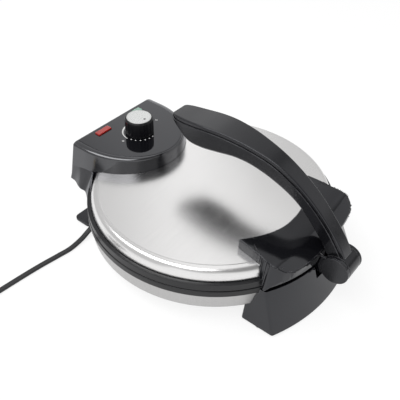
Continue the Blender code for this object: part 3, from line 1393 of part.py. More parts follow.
def rounded_slice(middle, upward, half_width, low, high, edge, round_top):
    """A slice of the lever between two heights over its bottom line, with two rounded corners."""
    edge = min(edge, (high - low) * LEVER_EDGE_SHARE, half_width / 2)
    corner_steps = 2
    arc = [math.pi / 2 * step / corner_steps for step in range(corner_steps + 1)]
    points = []
    for side in (1.0, -1.0):
        turns = arc if side > 0 else list(reversed(arc))
        for turn in turns:
            x = side * (half_width - edge + edge * math.cos(turn))
            lift = edge * math.sin(turn)
            height = high - edge + lift if round_top else low + edge - lift
            points.append(middle + Vector((x, 0.0, 0.0)) + upward * height)
    flat = low if round_top else high
    points.append(middle + Vector((-half_width, 0.0, 0.0)) + upward * flat)
    points.append(middle + Vector((half_width, 0.0, 0.0)) + upward * flat)
    return points


def trough_sections(rows):
    """The lower shell's hollow, sliced half-way between the lever's stations."""
    sections = []
    for (top, low, half_width), (next_top, next_low, next_half_width) in zip(rows, rows[1:]):
        middle_top = (top + next_top) / 2
        middle_low = (low + next_low) / 2
        upper_depth, depth, upward = lever_split(middle_top, middle_low)
        inner = (half_width + next_half_width) / 2 - LEVER_TROUGH_WALL
        corners = (
            (inner, depth - upper_depth + OVERRUN), (-inner, depth - upper_depth + OVERRUN),
            (-inner, LEVER_TROUGH_WALL), (inner, LEVER_TROUGH_WALL),
        )
        sections.append([middle_low + Vector((x, 0.0, 0.0)) + upward * height for x, height in corners])
    return sections


def make_lever():
    """Press lever: an upper and a lower shell, the lower one ending in the barrel on the pivot pin."""
    rows = lever_rows()
    upper_sections = []
    lower_sections = []
    for top, low, half_width in rows:
        upper_depth, depth, upward = lever_split(top, low)
        seam = depth - upper_depth
        upper_sections.append(
            rounded_slice(low, upward, half_width - LEVER_TOP_INSET, seam, depth, LEVER_EDGE, True)
        )
        lower_sections.append(rounded_slice(low, upward, half_width, 0.0, seam - GAP, LEVER_EDGE, False))
    upper = loft("lever_upper_shell", upper_sections, SATIN_BLACK, LEVER)
    lower = loft("lever_lower_shell", lower_sections, SATIN_BLACK, LEVER)
    wide_ends = across_ends(PIVOT, EAR_INNER + OVERRUN)
    first, end = (round(len(rows) * share) for share in LEVER_TROUGH_SHARES)
    cut(lower, loft("lever_trough", trough_sections(rows[first:end])))
    barrel_ends = across_ends(PIVOT, BARREL_HALF_WIDTH)
    join(lower, rods("lever_barrel", [barrel_ends], BARREL_RADIUS, sides=DISC_SIDES))
    cut(lower, rods("lever_bore", [wide_ends], PIVOT_PIN_RADIUS + RUNNING_GAP))
    cut(upper, rods("barrel_clearance", [wide_ends], BARREL_RADIUS + GAP, sides=DISC_SIDES))
    make_lever_screws(upper, lower, rows)


def make_lever_screws(upper, lower, rows):
    """Two screws from below through the lower shell into bosses of the upper shell."""
    places = []
    tops = np.array([[top.y, top.z] for top, _, _ in rows])[::-1]
    lows = np.array([[low.y, low.z] for _, low, _ in rows])[::-1]
    for share in LEVER_SCREW_SHARES:
        y = -PIVOT_REACH + LEVER_REACH * share
        top = float(np.interp(y, tops[:, 0], tops[:, 1]))
        low = float(np.interp(y, lows[:, 0], lows[:, 1]))
        places.append((y, low, top))
    head_room = SCREW_HEAD_HEIGHT + 2 * GAP
    bosses = rods(
        "lever_bosses",
        [
            ((0.0, y, low + LEVER_TROUGH_WALL + GAP + SHEET + head_room), (0.0, y, top - LEVER_TOP_THICKNESS / 2))
            for y, low, top in places
        ],
        LEVER_BOSS_RADIUS,
    )
    seats = rods(
        "lever_screw_seats",
        [
            ((0.0, y, low + LEVER_TROUGH_WALL / 2), (0.0, y, low + LEVER_TROUGH_WALL + SHEET + head_room - GAP))
            for y, low, _ in places
        ],
        LEVER_BOSS_RADIUS,
    )
    head_holes = rods(
        "lever_head_holes",
        [((0.0, y, low - OVERRUN), (0.0, y, low + LEVER_TROUGH_WALL / 2 + head_room)) for y, low, _ in places],
        SCREW_HEAD_RADIUS + GAP,
    )
    shank_holes = rods(
        "lever_shank_holes",
        [((0.0, y, low), (0.0, y, (low + top) / 2 + GAP)) for y, low, top in places],
        SCREW_HOLE_RADIUS,
    )
    join(upper, bosses)
    cut(upper, shank_holes)
    join(lower, seats)
    cut(lower, head_holes, shank_holes)
    for number, (y, low, top) in enumerate(places, 1):
        numbered = f"lever_screw_{number}"
        seat = low + LEVER_TROUGH_WALL / 2 + GAP
        head_ends = ((0.0, y, seat), (0.0, y, seat + SCREW_HEAD_HEIGHT))
        shank_ends = ((0.0, y, seat + SHEET), (0.0, y, (low + top) / 2))
        join(
            rods(numbered, [head_ends], SCREW_HEAD_RADIUS, PLAIN_STEEL, LEVER, SCREW_SIDES),
            rods(numbered + "_shank", [shank_ends], SCREW_RADIUS, sides=SCREW_SIDES),
        )


def spaced(route, spacing):
    """Points at an even spacing along a smooth curve through a route's points."""
    fine = np.array(smooth_rows(route, ROUTE_SAMPLES))
    steps = np.linalg.norm(np.diff(fine, axis=0), axis=1)
    along = np.concatenate([[0.0], np.cumsum(steps)])
    count = max(int(round(along[-1] / spacing)), 2)
    places = np.linspace(0.0, along[-1], count + 1)
    return [tuple(float(np.interp(place, along, fine[:, axis])) for axis in range(3)) for place in places]


def coil_points():
    """Turns that wind in on the lower layer, climb in the middle and wind out on the upper one."""
    points = []
    low = COIL_LIFT + CORD_THICKNESS / 2
    climb_start = (COIL_TURNS - COIL_CLIMB_TURNS) / 2
    for step in range(COIL_TURNS * COIL_POINTS_PER_TURN + 1):
        turn = step / COIL_POINTS_PER_TURN
        inward = min(turn, COIL_TURNS - turn)
        radius = COIL_OUTER_RADIUS - COIL_TURN_STEP * inward
        share = min(max((turn - climb_start) / COIL_CLIMB_TURNS, 0.0), 1.0)
        height = low + COIL_LAYER_STEP * share * share * (3.0 - 2.0 * share)
        angle = -math.pi / 2 - 2 * math.pi * turn
        x = COIL_CENTRE[0] + radius * math.cos(angle)
        points.append((x, COIL_CENTRE[1] + radius * math.sin(angle), height))
    first = (points[0][0] + CORD_WIDTH, points[0][1], points[0][2])
    last = (points[-1][0] - CORD_WIDTH, points[-1][1], points[-1][2])
    return [first] + points + [last]


def least_gap(points):
    """The least air between two stretches of the flat cord that aren't next to each other along it."""
    places = np.array(points)
    steps = np.linalg.norm(np.diff(places, axis=0), axis=1)
    along = np.concatenate([[0.0], np.cumsum(steps)])
    apart = places[:, None, :] - places[None, :, :]
    distance = np.linalg.norm(apart, axis=2)
    level = (apart[..., 0] ** 2 + apart[..., 1] ** 2) / CORD_WIDTH ** 2
    scaled = np.sqrt(level + apart[..., 2] ** 2 / CORD_THICKNESS ** 2)
    far = np.abs(along[:, None] - along[None, :]) > 4 * CORD_WIDTH
    return float((distance[far] * (1.0 - 1.0 / scaled[far])).min())


def make_cord():
    """Gland, flat twin cord over the table, its coil with a tie, and the plug."""
    wall_face = -STAND_BLOCK_HALF_WIDTH
    flattened = CORD_THICKNESS / CORD_WIDTH
    gland = turned(
        "strain_relief",
        [
            (0.0, GLAND_LENGTH + GAP), (GLAND_NARROW_RADIUS, GLAND_LENGTH + GAP), (GLAND_WIDE_RADIUS, WALL),
            (GLAND_WIDE_RADIUS, GAP), (GLAND_NECK_RADIUS, GAP), (GLAND_NECK_RADIUS, -CELL_RIB), (0.0, -CELL_RIB),
        ],
        BLACK_RUBBER,
        closed=False,
        place=(wall_face, GLAND_REACH, GLAND_HEIGHT),
        steps=ROD_SIDES,
    )
    gland.rotation_euler = (0.0, -math.pi / 2, 0.0)
    lead = spaced(CORD_ROUTE, CORD_POINT_SPACING * 2)
    tube("power_cord", lead, CORD_WIDTH / 2, BLACK_CORD, flattened=flattened)
    winding = coil_points()
    tube("cord_coil", winding, CORD_WIDTH / 2, BLACK_CORD, resolution=1, flattened=flattened)
    print(f"least gap between the coil's turns: {least_gap(winding) * 1000:.2f} mm")
    tail = spaced(TAIL_ROUTE, CORD_POINT_SPACING)
    tube("cord_tail", tail, CORD_WIDTH / 2, BLACK_CORD, flattened=flattened)
    make_tie()
    make_plug()


def make_tie():
    """A band round all the turns on the coil's far side."""
    x, y = COIL_CENTRE
    inward = COIL_TURNS / 2
    near = y + COIL_OUTER_RADIUS - COIL_TURN_STEP * inward - CORD_WIDTH / 2 - TIE_CLEARANCE
    far = y + COIL_OUTER_RADIUS - COIL_TURN_STEP / 2 + CORD_WIDTH / 2 + TIE_CLEARANCE
    low = COIL_LIFT - GAP
    high = COIL_LIFT + COIL_LAYER_STEP + CORD_THICKNESS + TIE_CLEARANCE
    half = TIE_WIDTH / 2
    low_corner = (x - half, near - TIE_THICKNESS, low - TIE_THICKNESS)
    high_corner = (x + half, far + TIE_THICKNESS, high + TIE_THICKNESS)
    band = boxes("cord_tie", [(low_corner, high_corner)], SATIN_BLACK)
    cut(band, boxes("tie_hole", [((x - half - OVERRUN, near, low), (x + half + OVERRUN, far, high))]))


def plug_section(y, width, height, middle_height):
    """The plug's rounded outline across its length."""
    corner = height * PLUG_CORNER_SHARE
    points = []
    corner_steps = 3
    middles = ((1.0, 1.0), (-1.0, 1.0), (-1.0, -1.0), (1.0, -1.0))
    x = TAIL_ROUTE[-1][0]
    for quarter, (side, rise) in enumerate(middles):
        for step in range(corner_steps + 1):
            angle = math.pi / 2 * (quarter + step / corner_steps)
            points.append((
                x + side * (width / 2 - corner) + corner * math.cos(angle),
                y,
                middle_height + rise * (height / 2 - corner) + corner * math.sin(angle),
            ))
    return points


def make_plug():
    """Two-bladed plug that lies flat beside the coil."""
    start = TAIL_ROUTE[-1][1] + GAP
    middle = PLUG_HEIGHT / 2 + PLUG_FLOOR_CLEARANCE
    sections = []
    for along_share, swell_share in PLUG_PROFILE_SHARES:
        width = PLUG_NECK_WIDTH + (PLUG_WIDTH - PLUG_NECK_WIDTH) * swell_share
        height = PLUG_NECK_HEIGHT + (PLUG_HEIGHT - PLUG_NECK_HEIGHT) * swell_share
        sections.append(plug_section(start + PLUG_LENGTH * along_share, width, height, middle))
    body = loft("plug_body", sections, BLACK_RUBBER)
    face = start + PLUG_LENGTH
    x = TAIL_ROUTE[-1][0]

    def blade_boxes(grow, back, front):
        half = BLADE_THICKNESS / 2 + grow
        rise = BLADE_WIDTH / 2 + grow
        corners = []
        for side in (-1.0, 1.0):
            blade_x = x + side * BLADE_SPACING / 2
            low_corner = (blade_x - half, face - back, middle - rise)
            corners.append((low_corner, (blade_x + half, face + front, middle + rise)))
        return corners

    cut(body, boxes("blade_slots", blade_boxes(GAP, BLADE_DEPTH + GAP, OVERRUN)))
    for word, corners in zip(("left", "right"), blade_boxes(0.0, BLADE_DEPTH, BLADE_LENGTH)):
        boxes("plug_blade_" + word, [corners], BRASS)


def make_roti_maker():
    floor = make_base_shell()
    make_lower_plate_group()
    front_places = make_front_leg(floor)
    rear_places = make_rear_stand(floor)
    make_pads(front_places, rear_places)
    make_base_hinge()
    cover = make_lid_cover()
    make_lid_frame()
    make_control_panel()
    make_lamps()
    make_thermostat()
    make_knob()
    make_upper_plate_group()
    make_lid_hinge()
    make_saddle(cover)
    make_pivot()
    make_lever()
    make_cord()


make_roti_maker()
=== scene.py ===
"""Electric roti maker: the finished surfaces round its model, and the studio that shows it.

Lengths are in metres and +Z is up. Shapes are worked out round the axis of the heating plates, with the
front at -Y, and are moved by PLATE_AXIS into the model's frame.
"""

import json
import math

import bmesh
import bpy
import numpy as np
from bpy.props import FloatProperty, FloatVectorProperty, IntProperty, PointerProperty
from mathutils import Matrix, Vector

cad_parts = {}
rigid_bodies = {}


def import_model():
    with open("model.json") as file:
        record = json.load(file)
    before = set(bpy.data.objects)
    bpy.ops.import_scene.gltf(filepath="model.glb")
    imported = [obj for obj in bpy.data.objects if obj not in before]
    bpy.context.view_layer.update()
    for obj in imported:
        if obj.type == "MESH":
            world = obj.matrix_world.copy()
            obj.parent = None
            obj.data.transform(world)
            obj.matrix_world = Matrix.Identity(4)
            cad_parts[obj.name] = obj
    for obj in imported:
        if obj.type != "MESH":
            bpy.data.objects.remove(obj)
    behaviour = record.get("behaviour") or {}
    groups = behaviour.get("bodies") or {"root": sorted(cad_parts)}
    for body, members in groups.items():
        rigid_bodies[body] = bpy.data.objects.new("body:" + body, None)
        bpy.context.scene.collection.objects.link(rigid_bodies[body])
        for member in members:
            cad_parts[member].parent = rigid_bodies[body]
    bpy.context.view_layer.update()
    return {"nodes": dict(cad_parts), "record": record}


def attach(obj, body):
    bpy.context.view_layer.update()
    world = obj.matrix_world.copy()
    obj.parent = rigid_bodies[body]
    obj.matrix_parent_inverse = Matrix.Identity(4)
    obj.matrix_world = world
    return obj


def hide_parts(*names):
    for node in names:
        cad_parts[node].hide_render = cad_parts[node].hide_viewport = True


for leftover in list(bpy.data.objects):
    bpy.data.objects.remove(leftover, do_unlink=True)

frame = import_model()

bl_info = {
    "name": "Electric roti maker",
    "version": (1, 0, 0),
    "blender": (4, 5, 0),
    "location": "3D View > Sidebar > Roti maker",
    "description": "Builds the finished pieces of an electric roti maker and its studio",
    "category": "Object",
}

PLATE_AXIS = Vector((0.0, 0.0138, 0.0))

# Clearances and sheets
GAP = 0.0003
OVERRUN = 0.004
SHEET = 0.0008
WALL = 0.0025

# Radii from the plates outwards
RING_INNER_RADIUS = 0.129
LID_RADIUS = 0.140
LID_RING_RADIUS = 0.1443
BASE_RING_RADIUS = 0.1449
PAN_RADIUS = 0.1435
PAN_FOOT_RADIUS = 0.1416
PAN_FLANGE_RADIUS = 0.128
PAN_CORNER = 0.003
PAN_ROUNDING = 0.002
BASE_FLOOR_RADIUS = 0.138

# Heights from the table up
LEG_FOOT_HEIGHT = 0.0018
BASE_FLOOR_HEIGHT = 0.0222
PAN_BOTTOM = 0.0240
PAN_TOP = 0.0450
BASE_RING_BOTTOM = 0.0453
BASE_RING_TOP = 0.0530
LID_BOTTOM = 0.0533
SKIRT_BOTTOM = 0.0612
LID_RING_TOP = 0.0625
DOME_RISE = 0.0185
DOME_SHARES = ((0.0, 1.0), (0.30, 0.976), (0.507, 0.919), (0.72, 0.846), (0.926, 0.774))
CREASE_WIDTH = 0.0014
CREASE_FLOOR_SHARES = (0.35, 0.65)
RIM_SHARES = ((0.9305, 0.752), (0.957, 0.702), (0.976, 0.586), (0.990, 0.37), (1.0, 0.05))

# Control housing
HOUSING_REAR = 0.158
HOUSING_CENTRE = 0.138
HOUSING_FRONT_REACH = 0.080
HOUSING_HALF_WIDTH = 0.0692
HOUSING_SHOULDER_HEIGHT = 0.094
HOUSING_EDGE_RISE = 0.004
HOUSING_TOP_HEIGHT = HOUSING_SHOULDER_HEIGHT + HOUSING_EDGE_RISE
HOUSING_EDGE = 0.0072
HOUSING_FRONT_EDGE = 0.0015
HOUSING_DRAFT_SHARE = 0.22
HOUSING_CORNER = 0.0028
FLARE_HALF_WIDTH = 0.067
HOUSING_FOOT_HEIGHT = 0.074
PANEL_RIM = 0.0008
PANEL_LEDGE = 0.0035
PANEL_TOP = HOUSING_TOP_HEIGHT + 0.0005
PANEL_BOTTOM = PANEL_TOP - 0.0022
PANEL_HALF_WIDTH = HOUSING_HALF_WIDTH - HOUSING_EDGE - PANEL_RIM
PANEL_EDGE = 0.0005
GUSSET_HEIGHT = 0.0205
GUSSET_OUTER_SHARES = (
    (-1.210, 1.107, -1.089, 1.107), (-1.224, 1.043, -1.089, 1.043), (-1.283, 0.979, -1.093, 0.979),
    (-1.314, 0.929, -1.095, 0.929), (-1.314, 0.879, -1.099, 0.886), (-1.358, 0.836, -1.105, 0.864),
    (-1.492, 0.750, -1.126, 0.854), (-1.563, 0.716, -1.143, 0.846),
)
GUSSET_INNER_SHARES = (
    (-1.509, 0.706, -1.128, 0.849), (-1.344, 0.779, -1.120, 0.851), (-1.193, 0.833, -1.095, 0.861),
    (-1.178, 0.893, -1.082, 0.893), (-1.178, 1.000, -1.082, 1.000), (-1.187, 1.098, -1.082, 1.098),
)

# Dial, lamps and printed marks
KNOB_REACH = 0.112
KNOB_FOOT = PANEL_TOP + 0.0005
KNOB_TOP = KNOB_FOOT + 0.0201
KNOB_FOOT_RADIUS = 0.0175
KNOB_TOP_RADIUS = 0.0172
KNOB_FLUTES = 20
KNOB_FLUTE_DEPTH = 0.00035
KNOB_EDGE = 0.0019
KNOB_EDGE_INSET_SHARE = 0.9
KNOB_FOOT_EDGE = 0.0006
KNOB_HOLLOW_RADIUS = 0.0085
KNOB_HOLLOW_HEIGHT = 0.0032
KNOB_BORE_RADIUS = 0.0033
KNOB_BORE_HEIGHT = 0.0123
KNOB_CAP_RADIUS = 0.015
KNOB_CAP_THICKNESS = 0.0011
KNOB_CAP_TOP = KNOB_TOP + 0.0005
KNOB_CAP_EDGE = 0.0003
KNOB_CAP_GROOVE_INSET = 0.0011
KNOB_CAP_GROOVE_HALF_WIDTH = 0.0002
KNOB_CAP_GROOVE_DEPTH = 0.0001
KNOB_CAP_MARK_RADIUS = 0.0014
KNOB_CAP_MARK_PLACE = (0.0007, -0.0086)
NECK_RADIUS = 0.0048
LAMP_REACH = 0.1463
LAMP_SPACING = 0.028
LENS_WIDTH = 0.0212
LENS_DEPTH = 0.008
LENS_TOP = PANEL_TOP + 0.0018
LENS_EDGE = 0.0009
LENS_CORNER = 0.001
MARK_RING_RADIUS = 0.0195
MARK_DOT_RADIUS = 0.00085
MARK_LIFT = 0.00006
MARK_ANGLES = (191.5, 208.7, 225.8, 243.0, 260.1, 277.3)
ARC_START = 99.0
ARC_END = 178.0
ARC_RADIUS = 0.0206
ARC_HALF_WIDTH = 0.00115
ARC_TAPER_SHARE = 0.65
CROSS_PLACES = ((-0.0278, 0.0012), (0.0327, 0.0013))
CROSS_HALF_LENGTH = 0.0016
CROSS_HALF_WIDTH = 0.00045
CROSS_CORNER = 0.0002

# Saddle over the lid's front rim
SADDLE_HALF_WIDTH = 0.081
SADDLE_RISE = 0.0367
SADDLE_CORNER_SHARE = 0.84
SADDLE_REAR_REACH = 0.108
SADDLE_REAR_SAGITTA = 0.023
SADDLE_EDGE = 0.0012
SADDLE_SKIRT = 0.0005
SADDLE_SPLAY_TOP = 0.0385
SADDLE_PROFILE_SHARES = (
    (0.560, 1.005, 0.973), (0.607, 1.000, 0.940), (0.714, 0.973, 0.864), (0.821, 0.918, 0.782),
    (0.907, 0.866, 0.718), (0.961, 0.831, 0.668), (1.009, 0.733, 0.590), (1.054, 0.619, 0.500),
    (1.079, 0.591, 0.462), (1.120, 0.591, 0.450),
)
SADDLE_ACROSS_SHARES = (
    (0.0, 0.0), (0.14, 0.0), (0.28, 0.11), (0.44, 0.36), (0.62, 0.67), (0.82, 0.95), (1.08, 1.0),
)
SADDLE_SIDE_SHARES = (
    (0.870, 0.750, 0.870, 0.750), (0.883, 0.811, 0.879, 0.811), (0.951, 0.838, 0.883, 0.838),
    (0.965, 0.871, 0.881, 0.871), (1.006, 0.911, 0.878, 0.911), (1.000, 0.936, 0.873, 0.936),
    (0.969, 0.971, 0.858, 0.968), (0.914, 1.011, 0.815, 1.004),
)
SADDLE_FRONT_SHARES = (
    (0.815, 1.036, 0.753, 1.032), (0.654, 1.057, 0.648, 1.055), (0.432, 1.070, 0.432, 1.069),
    (0.220, 1.076, 0.220, 1.076), (0.0, 1.079, 0.0, 1.079),
)
SADDLE_LIP_SHARES = ((0.914, 0.02), (0.950, 0.20), (1.000, 0.41), (1.300, 0.41))

# Lever, its pivot and its ears
PIVOT = Vector((0.0, -0.1698, 0.0569))
BARREL_RADIUS = 0.0158
BARREL_HALF_WIDTH = 0.0102
BARREL_EDGE = 0.0006
PIN_HOLE_RADIUS = 0.0031
PIN_HOLE_HALF_LENGTH = 0.03
EAR_INNER = 0.0105
EAR_OUTER = 0.0133
EAR_EDGE = 0.0004
EAR_WEB_REACH = 0.1412
EAR_WEB_RISE = 0.0095
EAR_WEB_DROP = 0.0130
PIVOT_CAP_THICKNESS = 0.002
PIVOT_CAP_EDGE = 0.0007
LEVER_REACH = 0.2188
LEVER_RISE = 0.1051
LEVER_HALF_WIDTH = 0.0195
LEVER_TOP_THICKNESS = 0.0042
LEVER_TOP_INSET = 0.0014
LEVER_EDGE = 0.0026
LEVER_SEAM_EDGE = 0.0009
LEVER_SPLIT_SHARE = 0.45
LEVER_END_SHARE = 0.955
LEVER_END_NARROWING = 0.30
LEVER_SCREW_SHARES = (0.84, 0.72)
LEVER_SCREW_HOLE_RADIUS = 0.0036
LEVER_SCREW_HOLE_DEPTH = 0.0037
LEVER_SHARES = (
    (1.000, 0.943, 1.002, 0.919, 0.78), (0.959, 0.952, 0.954, 0.838, 0.846),
    (0.877, 0.967, 0.877, 0.738, 0.949), (0.776, 0.990, 0.790, 0.734, 1.0),
    (0.685, 1.000, 0.694, 0.762, 0.964), (0.584, 0.986, 0.602, 0.786, 0.872),
    (0.493, 0.952, 0.520, 0.772, 0.769), (0.401, 0.900, 0.438, 0.724, 0.667),
    (0.310, 0.814, 0.360, 0.662, 0.605), (0.223, 0.700, 0.287, 0.586, 0.564),
    (0.145, 0.567, 0.223, 0.491, 0.538), (0.081, 0.434, 0.164, 0.367, 0.512),
    (0.036, 0.329, 0.118, 0.258, 0.508), (-0.005, 0.215, 0.081, 0.158, 0.508),
    (-0.033, 0.115, 0.040, 0.053, 0.508),
)

# Front leg and rear stand
LEG_TOP_HEIGHT = 0.0525
LEG_CUT_HEIGHT = 0.0500
LEG_FLOOR_HALF_WIDTH = 0.0868
LEG_TOP_HALF_WIDTH = 0.078
LEG_TOP_RADIUS = 0.1497
LEG_REAR_REACH = 0.109
LEG_FLOOR_CORNER_REACH = 0.148
LEG_FLOOR_FRONT_REACH = 0.1672
LEG_EDGE = 0.0020
LEG_NOTCH_HALF_WIDTH = 0.0165
LEG_NOTCH_HEIGHT = 0.036
CELL_ROOF = 0.003
CELL_WIDTH = 0.029
CELL_RIB = 0.003
LEG_CELL_DEPTH = 0.0235
LEG_FRONT_CELL_DEPTH = 0.011
LEG_CELLS = 5
LEG_FRONT_CELLS = 3
STAND_HALF_WIDTH = 0.0942
STAND_REAR = 0.142
STAND_FRONT = 0.1145
STAND_SLAB_HEIGHT = 0.0045
STAND_CORNER = 0.006
STAND_EDGE = 0.0012
STAND_BLOCK_HALF_WIDTH = 0.062
STAND_BLOCK_FRONT = 0.100
STAND_BLOCK_CORNER = 0.002
STAND_BLOCK_EDGE = 0.0006
STAND_CELL_WIDTH = 0.0265
STAND_CELLS = 4

# Mains cord, its gland, tie and plug
CORD_WIDTH = 0.0066
CORD_THICKNESS = 0.0040
CORD_OUTLINE_POWER = 0.8
CORD_GROOVE_DEPTH_SHARE = 0.16
CORD_GROOVE_WIDTH_SHARE = 0.22
CORD_HOLE_RADIUS = 0.0043
GLAND_LENGTH = 0.025
GLAND_WIDE_RADIUS = 0.0052
GLAND_NARROW_RADIUS = 0.0040
GLAND_RIBS = 6
GLAND_RIB_SHARES = ((0.0, 0.0), (0.62, 0.0), (0.66, 1.0), (0.96, 1.0))
GLAND_DIP = 0.0009
GLAND_EDGE = 0.0003
GLAND_REACH = 0.1085
GLAND_HEIGHT = 0.009
CORD_ROUTE = (
    (-0.0883, 0.1085, 0.0090), (-0.0950, 0.1085, 0.0085), (-0.1040, 0.1080, 0.0060),
    (-0.1150, 0.1070, 0.0035), (-0.1330, 0.1063, 0.0021), (-0.1500, 0.1085, 0.0021),
    (-0.1730, 0.1120, 0.0021), (-0.1950, 0.1145, 0.0021), (-0.2170, 0.1165, 0.0021),
    (-0.2320, 0.1177, 0.0023), (-0.2450, 0.1184, 0.0030), (-0.2551, 0.1186, 0.0032),
)
TAIL_ROUTE = (
    (-0.2689, 0.1186, 0.0079), (-0.2770, 0.1188, 0.0078), (-0.2880, 0.1206, 0.0066),
    (-0.2990, 0.1252, 0.0043), (-0.3085, 0.1326, 0.0027), (-0.3155, 0.1423, 0.0030),
    (-0.3192, 0.1530, 0.0048), (-0.3200, 0.1620, 0.0062), (-0.3200, 0.1690, 0.0062),
)
COIL_CENTRE = (-0.262, 0.160)
COIL_OUTER_RADIUS = 0.0414
COIL_TURN_STEP = 0.0072
COIL_LAYER_STEP = 0.0047
COIL_LIFT = 0.0012
COIL_TURNS = 3
COIL_CLIMB_TURNS = 0.5
TIE_THICKNESS = 0.0008
TIE_WIDTH = 0.006
TIE_FLAT_SHARE = 0.47
TIE_CLEARANCE = 0.0004
PLUG_LENGTH = 0.034
PLUG_WIDTH = 0.022
PLUG_HEIGHT = 0.0118
PLUG_NECK_WIDTH = 0.0095
PLUG_NECK_HEIGHT = 0.0070
PLUG_MIDDLE = 0.0062
PLUG_CORNER_SHARE = 0.35
PLUG_EDGE = 0.0008
PLUG_SWELL_SHARES = (
    (0.0, 0.0), (0.16, 0.02), (0.30, 0.14), (0.42, 0.58), (0.54, 0.90), (0.70, 1.0), (0.86, 0.95),
    (1.0, 1.0),
)

# Shades of steel, as shares of its colour; the pan's is a darker copy of the cover's steel, a painted shade
DULL_STEEL_SHARE = 0.86
PAN_SHADE_SHARE = 0.62
DULL_PAN_SHARE = 0.8
PAN_EXTRA_ROUGHNESS = 0.06

# How much the layers of a finish count
BROAD_GRAIN_SCALE = 0.045
BROAD_GRAIN_SHARE = 0.7
FINE_GRAIN_SHARE = 0.3
CLEAN_LEVEL = 0.78
SMUDGE_COVER_SHARE = 0.35
RUBBED_ROUGHNESS = 0.22
BRUSHING_SHARE = 0.35
STAIN_SHARE = 0.25
STAIN_ROUGHNESS = 0.06
SPUN_RING_SHARE = 0.5
SPUN_STAIN_SHARE = 0.3
COOL_TINT = (0.94, 0.95, 1.0, 1.0)

# Camera
CAMERA_PLACE = (-0.417636, -0.283445, 0.488044)
CAMERA_TURN_DEGREES = (49.100983, -0.629217, -50.725677)
CAMERA_SHIFT = (0.035387, 0.006650)
SENSOR_WIDTH = 36.0
CLIP_START = 0.01
CLIP_END = 30.0

# Floor, and how far its glow lifts it toward white
FLOOR_REACH = 4.0
FLOOR_TOP = -0.0001
FLOOR_BOTTOM = -0.02
FLOOR_GLOW = 1.14
FLOOR_SEEN_SHARE = 0.7
FLOOR_MIRRORED_SHARE = 0.5

# Soft lights: place, size and share of the key light's power
LIGHT_AIM = Vector((0.0, 0.0, 0.05))
SOFT_LIGHTS = (
    ("key_light", Vector((-0.60, 0.20, 1.20)), (1.6, 0.5), 1.0),
    ("fill_light", Vector((0.7, -0.9, 0.8)), (1.3, 0.9), 0.19),
)

# Dimmer parts of what the object mirrors: direction, cosines where it starts and is full, and how much
DIMMED_DIRECTIONS = (
    ((0.66, -0.55, 0.51), 0.60, 0.95, 0.75), ((-0.60, 1.00, 0.50), 0.52, 0.70, 0.45),
    ((-0.10, -0.75, 0.65), 0.70, 0.92, 0.75), ((-0.70, -0.45, 0.55), 0.86, 0.97, 0.50),
    ((0.88, 0.10, 0.40), 0.83, 0.93, 0.40),
)
LEAST_MIRRORED = 0.1

# Fineness of the finished meshes
RING_STEPS = 224
CLEARANCE_STEPS = 160
DISC_STEPS = 96
HOUSING_ARC_STEPS = 96
CORD_SECTION_STEPS = 28
GLAND_STEPS = 48
NECK_STEPS = 48
HOLE_STEPS = 32
CAP_DOT_STEPS = 32
DOT_STEPS = 20
DOME_ROWS = 60
RIM_ROWS = 28
CREASE_ROWS = 4
GUSSET_OUTER_ROWS = 30
GUSSET_INNER_ROWS = 22
SADDLE_SIDE_ROWS = 22
SADDLE_FRONT_ROWS = 18
SADDLE_ACROSS_ROWS = 16
SADDLE_PROFILE_ROWS = 40
LEVER_ROWS = 160
PLUG_ROWS = 48
ROUTE_SAMPLES = 400
CORD_POINT_SPACING = 0.0033
COIL_POINTS_PER_TURN = 72
TOUCHING = 0.000001
LARGEST_CORNER_SHARE = 0.45
NEARLY_STRAIGHT = math.radians(84)
SHADING_ANGLE = math.radians(32)
COVER_SHADING_ANGLE = math.radians(24)
SADDLE_EDGE_ANGLE = math.radians(40)
BLUNT_ANGLE = math.radians(60)


class RotiMakerSizes(bpy.types.PropertyGroup):
    """Small sizes of the finish, which leave the object's dimensions as they are."""

    edge: FloatProperty(
        name="Edge rounding", description="Radius of the mouldings' outer edges", default=0.0009, min=0.0002,
        max=0.003, unit="LENGTH",
    )
    crease: FloatProperty(
        name="Lid crease", description="Depth of the crease that runs round the lid near its rim",
        default=0.0007, min=0.0, max=0.001, unit="LENGTH",
    )
    flute_points: IntProperty(
        name="Points per flute", description="How finely each flute of the knob is drawn", default=10, min=4,
        max=24,
    )


class RotiMakerFinish(bpy.types.PropertyGroup):
    """Colours and gloss of the visible materials."""

    gloss_black: FloatVectorProperty(
        name="Gloss black", description="Colour of the polished mouldings", default=(0.0055, 0.0056, 0.0072),
        subtype="COLOR", min=0.0, max=1.0,
    )
    satin_black: FloatVectorProperty(
        name="Satin black", description="Colour of the lever and the pivot's caps",
        default=(0.0065, 0.0066, 0.0080), subtype="COLOR", min=0.0, max=1.0,
    )
    steel: FloatVectorProperty(
        name="Brushed steel", description="Colour of the lid's cover and the pan",
        default=(0.92, 0.912, 0.908), subtype="COLOR", min=0.0, max=1.0,
    )
    steel_roughness: FloatProperty(
        name="Steel roughness", description="How far the steel blurs what it reflects", default=0.25,
        min=0.05, max=0.8, subtype="FACTOR",
    )
    red_lens: FloatVectorProperty(
        name="Red lens", description="Colour of the power lamp's lens", default=(0.62, 0.035, 0.025),
        subtype="COLOR", min=0.0, max=1.0,
    )
    green_lens: FloatVectorProperty(
        name="Green lens", description="Colour of the ready lamp's lens", default=(0.42, 0.66, 0.54),
        subtype="COLOR", min=0.0, max=1.0,
    )


